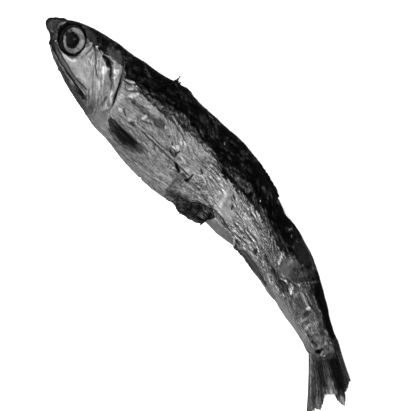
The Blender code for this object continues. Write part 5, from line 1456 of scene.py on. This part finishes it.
def ray_wave(s, share):
    """Ridges of the fin's rays from -1 to 1; each ray forks in two on its way to the tips."""
    ray = 2 * math.pi * TAIL_RAYS * share
    return blend(np.cos(ray), ramp(s - TAIL_ROOT_S, *RAY_FORK_RAMP), np.cos(2 * ray))


def tail_tone(s, t, share):
    """Tone of the tail fin: dark upper lobe, grey lower lobe and thin skin between them, painted paler for
    light shining through.
    """
    streaks = RAY_CONTRAST * ray_wave(s, share) + layered(s, share * STREAKS_ACROSS, TAIL_STREAKS)
    tone = np.full(np.broadcast(s, t).shape, TAIL_TONE)
    bent = shifted(s, t, TAIL_WANDER)
    for _, *oval, level, strength in TAIL_PATCHES:
        tone = painted(tone, patch_mask(*bent, *oval), level, strength)
    for _, points, half_width, level, strength in TAIL_LINES:
        tone = painted(tone, line_mask(*bent, points, half_width), level, strength)
    return np.clip(tone * (1 + streaks + layered(s, t, TAIL_SPECKS)), *TAIL_TONES)


def tail_fin():
    """Forked tail fin: ridged rays, thin skin between them and frayed tips."""
    share = np.linspace(0.0, 1.0, TAIL_COLUMNS)[None, :]
    along = np.linspace(0.0, 1.0, TAIL_ROWS)[:, None]
    tips = np.array(TAIL_TIPS)
    tip_places = np.linspace(0.0, 1.0, len(tips))
    tip_s = np.interp(share, tip_places, tips[:, 0])
    tip_t = np.interp(share, tip_places, tips[:, 1])
    gaps = 0.5 - 0.5 * np.cos(4 * math.pi * TAIL_RAYS * share)
    fray = np.abs(lattice_noise(share * STREAKS_ACROSS, 0 * share, TAIL_FRAY_SEED))
    tip_s = tip_s - TAIL_FRAY * gaps * fray
    root_t = TAIL_ROOT_TOP + (TAIL_ROOT_BOTTOM - TAIL_ROOT_TOP) * share
    s = TAIL_ROOT_S + (tip_s - TAIL_ROOT_S) * along
    t = root_t + (tip_t - root_t) * along - np.sin(math.pi * along) * np.interp(share, (0, 1), TAIL_PINCH)
    wave = TAIL_WAVE * along * np.sin(2 * math.pi * TAIL_WAVES_ACROSS * share + TAIL_WAVE_START)
    curl = TAIL_TIP_CURL * along**2 * np.sin(TAIL_CURL_PACE * t)
    ridge = RAY_HEIGHT * ray_wave(s, share) * ease(along / RAYS_FULL_AT) + layered(s, t, TAIL_CREASES)
    middle = smooth(MID_HEIGHT, s) + wave + curl
    half = np.interp(along, (0, 1), TAIL_HALF)
    half = half + ridge
    return closed_sheet("tail_fin", s, t, middle + half, middle - half, tail_tone(s, t, share))


FOLDED_ROWS = 130
FOLDED_COLUMNS = 14
FOLDED_DEPTH = 1.8
FOLDED_HALF = (0.18, 0.4)
FOLDED_WAVE = 0.15
FOLDED_RAY_PITCH = 0.5
FOLDED_RAY_SLANT = 1.6
FOLDED_RAY_HEIGHT = 0.035
FOLDED_RAY_CONTRAST = 0.22
FOLDED_WEAR = ((0.12, 0.7, 1.0, 111, 2),)
FOLDED_STREAKS = ((0.35, 2.0, 0.6, 117, 3),)
DORSAL_TONE = 22
ANAL_TONE = 52


def folded_fin(name, edge, side_of_body, level):
    """Thin fin folded along the back (+1) or the belly (-1), with slanting rays and a worn free edge."""
    stations = np.linspace(edge[0][0], edge[-1][0], FOLDED_ROWS)[:, None]
    inwards = np.linspace(0.0, 1.0, FOLDED_COLUMNS)[None, :]
    s = np.repeat(stations, FOLDED_COLUMNS, axis=1)
    worn = np.abs(layered(stations, 0 * stations, FOLDED_WEAR)) * (1 - inwards)
    t = smooth(edge, s) - side_of_body * (FOLDED_DEPTH * inwards + worn)
    rays = np.cos(2 * math.pi * (s + FOLDED_RAY_SLANT * FOLDED_DEPTH * inwards) / FOLDED_RAY_PITCH)
    middle = smooth(MID_HEIGHT, s) + FOLDED_WAVE * np.sin(s)
    half = np.interp(inwards, (0, 1), FOLDED_HALF) + FOLDED_RAY_HEIGHT * rays
    tone = level * (1 + FOLDED_RAY_CONTRAST * rays + layered(s, t, FOLDED_STREAKS))
    return closed_sheet(name, s, t, middle + half, middle - half, tone)


PECTORAL_ROWS = 120
PECTORAL_COLUMNS = 56
PECTORAL_RAYS = 9
# How far the fin and its rays stand proud, where it is thick and where it is thin.
PECTORAL_PROUD = (0.26, 0.05)
PECTORAL_RAY_HEIGHT = (0.05, 0.03)
PECTORAL_SUNK = 0.45
PECTORAL_THIN_RAMPS = ((28.5, 32.5), (0.6, 1.0))
PECTORAL_RISE_RAMP = (-0.048, 0.072)
PECTORAL_FRAY_RAMP = (29.5, 32.5)
PECTORAL_FRAY = ((0.5, 1.0, 1 / 12, 131, 2),)
PECTORAL_RAY_CONTRAST = 0.18
PECTORAL_STREAKS = ((0.3, 4.0, 1 / 18, 137, 3),)
PECTORAL_SPECKS = ((0.2, 0.8, 0.4, 139, 3),)
PECTORAL_EDGE_RAGS = ((0.12, 1.5, 1.0, 141, 3),)
PECTORAL_EDGE_RAMP = (0.72, 1.02)
PECTORAL_EDGE_TONE = 96
PECTORAL_RIM_RAMPS = ((0.12, 0.06), (30.5, 28.5))
PECTORAL_RIM_TONE = 9
PECTORAL_STREAK_RAMP = (5, 45)
PECTORAL_TONES = (6, 150)
PECTORAL_TONE = (
    (22.2, 74), (23, 64), (24, 48), (24.8, 34), (26, 26), (28.6, 26), (29.6, 38), (30.4, 56), (31.6, 86),
    (32.8, 108),
)
# Marks on the pectoral fin, as on the tail fin.
PECTORAL_PATCHES = (
    ("front low", (23.2, -6.25), (1.2, 0.45), -25, 66, 75),
    ("rear low", (29.6, -6.9), (1.5, 0.45), 12, 78, 80),
    ("rear top", (30.3, -5.5), (0.8, 0.3), 0, 66, 70),
    ("streak", (29, -6.35), (1.1, 0.16), 8, 48, 80),
    ("top streak", (25.2, -5.75), (1.5, 0.14), 0, 38, 70),
)
TABLE_CLEARANCE = 0.05


def pectoral_fin(name, side):
    """Pectoral fin: a dark leaf of rays pressed on the flank, thin at its rear and lower edges."""
    stations = np.linspace(PECTORAL_START, PECTORAL_END, PECTORAL_ROWS)[:, None]
    s = np.repeat(stations, PECTORAL_COLUMNS, axis=1)
    top, bottom = smooth(PECTORAL_TOP, s), smooth(PECTORAL_BOTTOM, s)
    share = np.linspace(0.0, 1.0, PECTORAL_COLUMNS)[None, :]
    t = top + (bottom - top) * share
    s = s + ramp(s, *PECTORAL_FRAY_RAMP) * layered(0 * s, share, PECTORAL_FRAY)
    rays = np.cos(2 * math.pi * PECTORAL_RAYS * share)
    rear, low = PECTORAL_THIN_RAMPS
    thin = np.maximum(ramp(s, *rear), ramp(share, *low))
    thick_places, thin_places = zip(PECTORAL_PROUD, PECTORAL_RAY_HEIGHT)
    proud = blend(thick_places[0] + thick_places[1] * rays, thin, thin_places[0] + thin_places[1] * rays)
    proud = proud * ramp(share, *PECTORAL_RISE_RAMP)
    skin_here = skin_height(s, t, side)
    outer = np.maximum(skin_here + side * proud, TABLE_CLEARANCE)
    at_edge = ramp(share + layered(s, 0 * share, PECTORAL_EDGE_RAGS), *PECTORAL_EDGE_RAMP)
    tone = blend(smooth(PECTORAL_TONE, s), at_edge, PECTORAL_EDGE_TONE)
    for _, *oval, level, strength in PECTORAL_PATCHES:
        tone = painted(tone, patch_mask(s, t, *oval, SOFT_EDGE), level, strength)
    rim, front = PECTORAL_RIM_RAMPS
    tone = blend(tone, ramp(share, *rim) * ramp(s, *front), PECTORAL_RIM_TONE)
    streaks = layered(s, share, PECTORAL_STREAKS) + layered(s, t, PECTORAL_SPECKS)
    streaks = (PECTORAL_RAY_CONTRAST * rays + streaks) * ramp(tone, *PECTORAL_STREAK_RAMP)
    tone = np.clip(tone * (1 + streaks), *PECTORAL_TONES)
    return closed_sheet(name, s, t, outer, skin_here - side * PECTORAL_SUNK, tone)


FLAP_ROWS = 150
FLAP_COLUMNS = 90
FLAP_TOP = (
    (40.8, -8.75), (41.5, -8), (42.3, -7.35), (43.1, -7), (44, -6.9), (45.2, -6.5), (46.2, -5.8),
    (47.2, -5.25), (48.6, -4.85), (49.7, -4.35), (50.4, -4.75), (51, -5.05), (51.4, -5.25),
)
FLAP_BOTTOM = (
    (40.8, -9.15), (41.2, -9.38), (41.8, -9.34), (42.4, -9.22), (43.2, -9.22), (44.2, -9.48), (45, -9.68),
    (46, -9.5), (48, -9.15), (49.3, -8.74), (50.1, -8.14), (50.55, -7.98), (50.6, -7.15), (50.95, -6.4),
    (51.4, -5.45),
)
FLAP_THICKNESS = 0.9
FLAP_EDGE_THICKNESS = 0.08
FLAP_CLEARANCE = 0.08
FLAP_ENDS = (1.5, 0.8)
FLAP_ROUNDNESS = 0.6
FLAP_DROOP = 1.3
FLAP_PUFF = 0.30
# Least height over the skin: at the rim, more inside, and more again for each millimetre of fold.
FLAP_OVER_SKIN = (0.04, 0.10, 0.3)
FLAP_EDGE_RAGS = ((0.10, 0.5, 1.0, 151, 3),)
FLAP_TOP_RAGS = 0.6
FLAP_FOLDS = ((0.22, 2.4, 1.1, 153, 3),)
FLAP_CREASES = ((0.08, 0.6, 0.5, 157, 3),)
FLAP_GRAIN = ((0.20, 1.2, 0.8, 161, 3),)
FLAP_CRACKS = ((0.18, 1.1, 0.6, 163, 2),)
FLAP_WANDER = (((0.2, 0.9, 0.7, 165, 3),), ((0.2, 0.9, 0.7, 168, 3),))
FLAP_TONE = 42.0
FLAP_TONES = (7, 130)
# Marks on the flap, as on the skin.
FLAP_PATCHES = (
    ("front grey", (42.9, -8.2), (1.5, 0.8), 10, 66, 80, 0),
    ("front mottle", (44.4, -7.5), (0.9, 0.4), 25, 52, 70, 5),
    ("speck", (44.4, -8.15), (0.3, 0.25), 0, 88, 80, 5),
    ("upper fold", (49, -5.5), (0.9, 0.4), 12, 64, 80, 12),
    ("pale panel", (49.2, -6.75), (0.9, 0.5), 8, 82, 85, 12),
    ("rear fold", (50.7, -6.2), (0.35, 0.7), -30, 40, 80, 8),
    ("low grey", (48.6, -8.35), (1.4, 0.36), 15, 76, 85, 8),
    ("rear lobe", (49.8, -7.9), (0.6, 0.4), 20, 72, 80, 8),
    ("low front grey", (44, -8.7), (1.5, 0.5), -5, 54, 85, 3),
    ("flap start", (41.7, -8.9), (0.8, 0.5), 0, 98, 80, 0),
    ("rear low lobe", (49.6, -8.3), (0.6, 0.35), 20, 84, 80, 5),
    ("upper rim", (49.6, -4.95), (0.9, 0.2), -5, 68, 70, 5),
)
FLAP_LINES = (
    ("crease 1", ((47.6, -5.6), (47.9, -6.6), (48, -7.6), (47.6, -8.6)), 0.2, 14, 90, -16),
    ("crease 2", ((50.1, -5), (50.5, -5.6), (50.6, -6.3), (50.2, -6.9)), 0.17, 12, 90, -14),
    ("crease 3", ((48.3, -7.7), (49.3, -7.6), (50.2, -7.1), (50.9, -6.8)), 0.18, 16, 90, -16),
    ("crease 4", ((45.9, -6.5), (46.4, -7.4), (46.3, -8.6)), 0.2, 16, 80, -12),
    ("crease 5", ((49.4, -5.2), (49.9, -5.6), (50.9, -5.5)), 0.14, 20, 80, -10),
    ("fold light", ((47.9, -5.3), (48.6, -5.5), (49.3, -5.3)), 0.12, 84, 70, 6),
    ("panel light", ((48.5, -7.3), (49.3, -7.25), (49.9, -6.9)), 0.1, 92, 70, 5),
)


def belly_flap():
    """Crumpled flap of torn belly skin, over the left flank's lower edge and out past it."""
    stations = np.linspace(FLAP_TOP[0][0], FLAP_TOP[-1][0], FLAP_ROWS)[:, None]
    share = np.linspace(0.0, 1.0, FLAP_COLUMNS)[None, :]
    s = np.repeat(stations, FLAP_COLUMNS, axis=1)
    ragged = layered(stations, 0 * stations, FLAP_EDGE_RAGS)
    top, bottom = smooth(FLAP_TOP, s) + FLAP_TOP_RAGS * ragged, smooth(FLAP_BOTTOM, s) + ragged
    t = top + (bottom - top) * share
    folds = layered(s, t, FLAP_FOLDS, kind=ridges) + layered(s, t, FLAP_CREASES)
    texture = layered(s, t, FLAP_GRAIN) + layered(s, t, FLAP_CRACKS, kind=ridges)
    bent = shifted(s, t, FLAP_WANDER)
    tone, folds = marked(np.full(s.shape, FLAP_TONE), folds, *bent, FLAP_PATCHES, FLAP_LINES)
    front, rear = FLAP_ENDS
    body = ease((stations - stations[0]) / front) * ease((stations[-1] - stations) / rear)
    body = body * np.sin(math.pi * share) ** FLAP_ROUNDNESS
    start = skin_height(s, top, LEFT) + FLAP_CLEARANCE
    end = smooth(MID_HEIGHT, s) + FLAP_LIFT * ease((s - stations[0]) / FLAP_LIFT_RUN)
    outer = blend(start, share**FLAP_DROOP, end) + (FLAP_PUFF + folds) * body
    at_rim, inside, per_fold = FLAP_OVER_SKIN
    least = skin_height(s, t, LEFT) + at_rim + (inside + per_fold * np.clip(folds, 0, 1)) * body
    outer = np.maximum(outer, least)
    inner = outer - FLAP_EDGE_THICKNESS - FLAP_THICKNESS * body
    return closed_sheet("belly_flap", s, t, outer, inner, np.clip(tone * (1 + texture), *FLAP_TONES))


SCRAP_ROWS = 16
SCRAP_COLUMNS = 7
SCRAP_RAGS = ((0.10, 1.0, 0.8, 171, 2),)
SCRAP_RAG_PACE = 9
SCRAPS_APART = 5
SCRAP_NARROWING = 0.75
SCRAP_TAPER_PACE = 1.3
SCRAP_LEAN = (0.25, -0.125)
SCRAP_ROOT = 0.8
SCRAP_TIP_ROUNDING = 0.25
SCRAP_CURL = 0.18
SCRAP_CURL_PACE = 3
SCRAP_HALF = 0.26
SCRAP_THINNING = 0.6
SCRAP_TONE = (40, 40, 12)


def back_scrap(index, s_middle, height, half_width):
    """Curled scrap of stiff skin that stands on the back and narrows to a ragged tip."""
    along = np.linspace(0.0, 1.0, SCRAP_ROWS)[:, None]
    across = np.linspace(-1.0, 1.0, SCRAP_COLUMNS)[None, :]
    ragged = layered(along * SCRAP_RAG_PACE + index * SCRAPS_APART, across, SCRAP_RAGS)
    width = half_width * (1 - SCRAP_NARROWING * ease(along * SCRAP_TAPER_PACE)) + ragged
    s = s_middle + across * width - (SCRAP_LEAN[0] + index * SCRAP_LEAN[1]) * along
    rise = SCRAP_ROOT + height - SCRAP_TIP_ROUNDING * across**2 * along
    t = smooth(BACK_EDGE, s_middle) - SCRAP_ROOT + rise * along
    middle = smooth(MID_HEIGHT, s_middle) + SCRAP_CURL * np.sin(SCRAP_CURL_PACE * along + across)
    half = SCRAP_HALF * (1 - SCRAP_THINNING * along) * (1 - SCRAP_THINNING * across**2)
    root, to_tip, to_rear = SCRAP_TONE
    tone = root + to_tip * along + to_rear * across
    return closed_sheet(f"back_scrap_{index + 1}", s, t, middle + half, middle - half, tone)


EYE_RINGS = 64
EYE_POINTS = 128
EYE_FORM = (
    (0, 0.52), (0.9, 0.5), (1.35, 0.4), (1.58, 0.24), (1.75, 0.26), (2.15, 0.36), (2.45, 0.2),
    (2.65, -0.08),
)
EYE_RING_POWER = 0.8
EYE_BACK_RINGS = 10
EYE_BACK_POWERS = (0.5, 3)
EYE_BACK_TONE = 12.0
EYE_TURN = -47.0
EYE_STRETCH = 1.1
IRIS_OVAL = ((6.48, 1.21), (2.67, 2.2), EYE_TURN)
IRIS_FADE = 0.05
# The pupil's ovals, each with its centre, half length and half width, and turn in degrees.
PUPIL_OVALS = (
    ((6.13, 1.0), (1.7, 1.33), EYE_TURN),
    ((6.4, 1.3), (1.1, 1.05), -10),
    ((5.0, 1.2), (0.62, 0.62), 0),
)
# Marks on the iris, as on the tail fin.
IRIS_PATCHES = (
    ("top light", (5.5, 3.05), (1, 0.6), 25, 134, 80),
    ("rear top grey", (7.1, 3.3), (0.6, 0.4), -20, 128, 70),
    ("rear light", (8.15, 1.65), (1, 0.45), -65, 158, 85),
    ("iris rear shade", (6.9, 2.65), (0.45, 0.25), -47, 100, 70),
    ("bottom grey", (7.2, -0.75), (1, 0.45), -12, 98, 80),
    ("iris rear low", (8.3, 0.2), (0.5, 0.5), 0, 120, 70),
    ("front arm", (5.2, -0.15), (1.1, 0.45), -47, 122, 85),
    ("front dusk", (4.25, 1.3), (0.7, 0.6), 60, 46, 94),
    ("upper dusk", (4.5, 2.2), (0.45, 0.4), 45, 86, 80),
    ("dusk crease", (4.7, 2.28), (0.5, 0.13), -8, 44, 75),
)
IRIS_TONE = 116
IRIS_SPOKES = 20
IRIS_MARK_SPOKES = 14
IRIS_GRAIN = ((20, 0.8, 0.6, 195, 3),)
SPOKES_ROUND = 14
SPOKE_PACE = 1.3
SPOKE_SEED = 193
SPOKE_HEIGHT = 0.04
SPOKE_RAMPS = ((1.6, 1.9), (2.5, 2.2))
EYE_WANDER = ((0.10, 0.9, 0.9, 191, 3),)
IRIS_WANDER = 1.2
PUPIL_WANDER = 0.9
PUPIL_WANDER_ACROSS = ((0.12, 0.7, 0.7, 199, 3),)
PUPIL_FADE = 0.08
PUPIL_TONE = 5.0
PUPIL_LIGHT = 14
PUPIL_LIGHT_GRAIN = ((1.0, 0.7, 0.5, 197, 3),)
PUPIL_LIGHT_RAMP = (0.1, 1.1)
PUPIL_DENT = 0.07
PUPIL_GLINT = ((6.36, 1.54), (0.36, 0.2), 40)
PUPIL_GLINT_TONE = 62
PUPIL_GLINT_STRENGTH = 80
EYE_RIM_TONE = 14.0
EYE_RIM_SPOKES = 6
EYE_TONES = (5, 200)


def eye_spread(radius, angle):
    """Steps from the eye's centre for a radius and an angle, on the oval ball."""
    return turned(EYE_STRETCH * radius * np.cos(angle), radius * np.sin(angle), (0, 0), -EYE_TURN)


def eye_tone(s, t, spokes):
    """Tone of the front of the eye, and where its pupil is."""
    wander = layered(s, t, EYE_WANDER)
    tone = IRIS_TONE + IRIS_SPOKES * spokes + layered(s, t, IRIS_GRAIN)
    for _, *oval, level, strength in IRIS_PATCHES:
        tone = painted(tone, patch_mask(s, t, *oval), level + IRIS_MARK_SPOKES * spokes, strength)
    past_iris = 1 - patch_mask(s + IRIS_WANDER * wander, t, *IRIS_OVAL, IRIS_FADE)
    tone = blend(tone, past_iris, EYE_RIM_TONE + EYE_RIM_SPOKES * spokes)
    bent = s + PUPIL_WANDER * wander, t + layered(s, t, PUPIL_WANDER_ACROSS)
    in_pupil = np.maximum.reduce([patch_mask(*bent, *oval, PUPIL_FADE) for oval in PUPIL_OVALS])
    light = ramp(layered(s, t, PUPIL_LIGHT_GRAIN), *PUPIL_LIGHT_RAMP)
    tone = blend(tone, in_pupil, PUPIL_TONE + PUPIL_LIGHT * light)
    tone = painted(tone, patch_mask(*bent, *PUPIL_GLINT), PUPIL_GLINT_TONE, PUPIL_GLINT_STRENGTH)
    return tone, in_pupil * wander


def eye(name, side):
    """Dried eyeball: a pale wrinkled iris ring round a black shrunken pupil, dark at its rim."""
    radius = EYE_RADIUS * np.linspace(0.0, 1.0, EYE_RINGS)[1:, None] ** EYE_RING_POWER
    angle = np.linspace(0.0, 2 * math.pi, EYE_POINTS, endpoint=False)[None, :]
    ds, dt = eye_spread(radius, angle)
    spokes = lattice_noise(angle * SPOKES_ROUND / math.pi + 0 * radius, radius * SPOKE_PACE, SPOKE_SEED)
    tone, dents = eye_tone(EYE_S + ds, EYE_T + dt, spokes)
    on_ring = ramp(radius, *SPOKE_RAMPS[0]) * ramp(radius, *SPOKE_RAMPS[1])
    dome = smooth(EYE_FORM, radius) + SPOKE_HEIGHT * spokes * on_ring - PUPIL_DENT * dents
    share = np.linspace(1.0, 0.0, EYE_BACK_RINGS)[1:-1, None]
    spread, deepening = EYE_BACK_POWERS
    back_ds, back_dt = eye_spread(EYE_RADIUS * share**spread, angle)
    back = EYE_BACK * (1 - share**deepening) + 0 * back_ds
    ds, dt = np.concatenate([ds, back_ds]), np.concatenate([dt, back_dt])
    middle, slope_s, slope_t = eye_plane(side)
    z = middle + slope_s * ds + slope_t * dt + side * np.concatenate([dome, back])
    tone = np.concatenate([tone, np.full(back.shape, EYE_BACK_TONE)])
    return closed_tube(name, EYE_S + ds, EYE_T + dt, z, np.clip(tone, *EYE_TONES))


# Finishes.


class Wire:
    """An output of a material's nodes. A sum, product or power of wires and numbers adds its Math node."""

    def __init__(self, finish, socket):
        self.finish = finish
        self.socket = socket

    def maths(self, operation, first, second, clamp=False):
        settings = {"operation": operation, "use_clamp": clamp}
        return self.finish.node("ShaderNodeMath", settings, {0: first, 1: second})

    def __add__(self, other):
        return self.maths("ADD", self, other)

    def __sub__(self, other):
        return self.maths("SUBTRACT", self, other)

    def __rsub__(self, other):
        return self.maths("SUBTRACT", other, self)

    def __mul__(self, other):
        return self.maths("MULTIPLY", self, other)

    def __truediv__(self, other):
        return self.maths("DIVIDE", self, other)

    def __pow__(self, other):
        return self.maths("POWER", self, other)

    __radd__ = __add__
    __rmul__ = __mul__

    def clamped(self):
        return self.maths("ADD", self, 0.0, clamp=True)

    def at_least(self, floor):
        return self.maths("MAXIMUM", self, floor)


class Finish:
    """A material in the making."""

    def __init__(self, name, **settled):
        self.material = bpy.data.materials.new(name)
        self.material.use_nodes = True
        self.nodes = self.material.node_tree.nodes
        self.links = self.material.node_tree.links
        self.surface = self.nodes["Principled BSDF"]
        for socket, value in settled.items():
            self.surface.inputs[socket.replace("_", " ")].default_value = value

    def node(self, kind, settings=None, inputs=None, output=0):
        """A new node: its settings first, then its sockets' values or links. Gives one of its outputs."""
        made = self.nodes.new(kind)
        for setting, value in (settings or {}).items():
            setattr(made, setting, value)
        for socket, value in (inputs or {}).items():
            self.feed(made.inputs[socket], value)
        return Wire(self, made.outputs[output])

    def feed(self, socket, value):
        if isinstance(value, Wire):
            self.links.new(value.socket, socket)
        else:
            socket.default_value = value

    def paint(self, socket, value):
        self.feed(self.surface.inputs[socket], value)

    def bump(self, strength, height_mm, pattern):
        inputs = {"Strength": strength, "Distance": height_mm * MM, "Height": pattern}
        return self.node("ShaderNodeBump", None, inputs)

    def value(self, attribute, output="Fac"):
        return self.node("ShaderNodeAttribute", {"attribute_name": attribute}, output=output)

    def noise(self, where, grain_mm, detail=3.0):
        """Noise from 0 to 1 with grains of the given size along s, t and z."""
        scale = [1 / size for size in grain_mm]
        stretched = self.node("ShaderNodeVectorMath", {"operation": "MULTIPLY"}, {0: where, 1: scale})
        return self.node("ShaderNodeTexNoise", None, {"Vector": stretched, "Scale": 1.0, "Detail": detail})


ALBEDO_GAIN = 0.38
DARKEST = 0.008
DISPLAY_POWER = 2.2
SILVER_START = 0.24
SILVER_RUN = 0.45
SILVER_SMOOTHNESS = 0.10
PORE_SHARE = 0.8
PORE_DEPTH = 3
PORE_ROUGHNESS = 0.5
SKIN_BUMP = 0.8
EYE_SPECK_MM = (0.35, 0.35, 0.35)
EYE_SPECK_CONTRAST = 0.9
EYE_ROUGHNESS = 0.36
EYE_SPECK_ROUGHNESS = 0.5
EYE_BUMP = 0.5
EYE_BUMP_MM = 0.03


def albedo(level):
    """Share of light that a surface of this grey level throws back."""
    return (level.at_least(DARKEST) ** DISPLAY_POWER * ALBEDO_GAIN).clamped()


def skin_finish(name, fibres_mm, pore_mm, contrast, bump_mm, roughness, silver):
    """Dried skin: fibres and pores vary the painted tone, and the pale places have a silvery sheen."""
    finish = Finish(name, Specular_IOR_Level=0.01)
    run, tone, crumple = finish.value("run_mm", "Vector"), finish.value("tone"), finish.value("crumple")
    fibres = finish.noise(run, fibres_mm, 4.0) - 0.5
    pores = finish.noise(run, (pore_mm, pore_mm, PORE_DEPTH * pore_mm), 2.0) - 0.5
    pattern = (fibres + PORE_SHARE * pores) * crumple
    shine = ((tone - SILVER_START) / SILVER_RUN).clamped()
    roughness = roughness + PORE_ROUGHNESS * pores - SILVER_SMOOTHNESS * shine
    finish.paint("Base Color", albedo(tone * (1 + contrast * pattern)))
    finish.paint("Metallic", silver * shine)
    finish.paint("Roughness", roughness.clamped())
    finish.paint("Normal", finish.bump(SKIN_BUMP, bump_mm, pattern))
    return finish.material


def eye_finish():
    """Dried eye: hard and a little glossy, with fine specks and cracks."""
    finish = Finish("dried_eye_gloss", Specular_IOR_Level=0.03)
    run, tone = finish.value("run_mm", "Vector"), finish.value("tone")
    specks = finish.noise(run, EYE_SPECK_MM) - 0.5
    finish.paint("Base Color", albedo(tone * (1 + EYE_SPECK_CONTRAST * specks)))
    finish.paint("Roughness", (EYE_ROUGHNESS + EYE_SPECK_ROUGHNESS * specks).clamped())
    finish.paint("Normal", finish.bump(EYE_BUMP, EYE_BUMP_MM, specks))
    return finish.material


def dress(piece, material, node):
    """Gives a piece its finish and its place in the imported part."""
    piece.data.materials.append(material)
    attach(piece, "root")
    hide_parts(node)


# Table, light and camera.

FLOOR_SIZE = 3.0
FLOOR_GREY = 0.92


def floor():
    """Plain pale table top."""
    finish = Finish("pale_floor", Roughness=0.8, Specular_IOR_Level=0.1)
    finish.paint("Base Color", (FLOOR_GREY, FLOOR_GREY, FLOOR_GREY, 1.0))
    half = FLOOR_SIZE / 2
    mesh = bpy.data.meshes.new("floor")
    corners = [(-half, -half, 0), (half, -half, 0), (half, half, 0), (-half, half, 0)]
    mesh.from_pydata(corners, [], [(0, 1, 2, 3)])
    mesh.materials.append(finish.material)
    made = bpy.data.objects.new("floor", mesh)
    bpy.context.scene.collection.objects.link(made)


# Softboxes: name, place in metres, size in metres, power in watts.
SOFTBOXES = (
    ("head_softbox", (-0.55, -0.2, 0.55), 0.5, 9.6),
    ("belly_softbox", (0.15, -0.6, 0.5), 0.55, 8.4),
    ("tail_softbox", (0.6, 0.1, 0.6), 0.6, 6),
    ("back_softbox", (-0.05, 0.65, 0.45), 0.5, 5),
)
SKY_STRENGTH = 0.35


def lights():
    """Soft studio light from low on all sides, so that nothing glares straight up at the camera."""
    for name, where, size, power in SOFTBOXES:
        lamp = bpy.data.lights.new(name, "AREA")
        lamp.shape = "SQUARE"
        lamp.size = size
        lamp.energy = power
        made = bpy.data.objects.new(name, lamp)
        made.location = where
        made.rotation_euler = (-Vector(where)).to_track_quat("-Z", "Y").to_euler()
        bpy.context.scene.collection.objects.link(made)
    world = bpy.data.worlds.new("studio")
    world.use_nodes = True
    world.node_tree.nodes["Background"].inputs["Color"].default_value = (1.0, 1.0, 1.0, 1.0)
    world.node_tree.nodes["Background"].inputs["Strength"].default_value = SKY_STRENGTH
    bpy.context.scene.world = world


# The camera looks straight down. Its middle is this far behind the snout and towards the back, in mm.
VIEW_AHEAD = 48.16
VIEW_ASIDE = 3.8
VIEW_WIDTH = 82.2
VIEW_TURN = 53.4
CAMERA_HEIGHT = 600.0
SENSOR_WIDTH = 36.0
FISH_MIDDLE_HEIGHT = 3.0


def camera():
    lens = bpy.data.cameras.new("camera")
    lens.sensor_width = SENSOR_WIDTH
    lens.lens = SENSOR_WIDTH * CAMERA_HEIGHT / VIEW_WIDTH
    lens.clip_start = 0.01
    lens.clip_end = 10.0
    made = bpy.data.objects.new("camera", lens)
    height = CAMERA_HEIGHT + FISH_MIDDLE_HEIGHT
    made.location = Vector((SNOUT_X + VIEW_AHEAD, SNOUT_Y + VIEW_ASIDE, height)) * MM
    made.rotation_euler = (0.0, 0.0, math.radians(VIEW_TURN))
    bpy.context.scene.collection.objects.link(made)
    bpy.context.scene.camera = made


# Kinds of dried skin: size of fibres and of pores in mm, contrast, bump in mm, roughness, silver.
SKIN_KINDS = (
    ("dried_skin_silver", (1.3, 0.22, 1.2), 0.26, 2.6, 0.10, 0.52, 0.35),
    ("dried_fin", (1.6, 0.2, 1.2), 0.3, 1.4, 0.06, 0.5, 0.2),
    ("dried_belly_skin", (0.5, 0.35, 1.0), 0.25, 2.4, 0.09, 0.5, 0.2),
)


def main():
    flank_skin, fin_skin, torn_skin = (skin_finish(*kind) for kind in SKIN_KINDS)
    eye_gloss = eye_finish()
    pieces = [
        (skin(), flank_skin),
        (tail_fin(), fin_skin),
        (folded_fin("dorsal_fin", DORSAL_EDGE, 1, DORSAL_TONE), fin_skin),
        (folded_fin("anal_fin", ANAL_EDGE, -1, ANAL_TONE), fin_skin),
        (pectoral_fin("pectoral_fin_left", LEFT), fin_skin),
        (pectoral_fin("pectoral_fin_right", RIGHT), fin_skin),
        (belly_flap(), torn_skin),
    ]
    pieces += [(back_scrap(index, *scrap), torn_skin) for index, scrap in enumerate(BACK_SCRAPS)]
    for piece, material in pieces:
        dress(piece, material, "fish")
    dress(eye("eye_left_ball", LEFT), eye_gloss, "eye_left")
    dress(eye("eye_right_ball", RIGHT), eye_gloss, "eye_right")
    floor()
    lights()
    camera()
    bpy.context.scene.view_settings.view_transform = "Standard"


main()
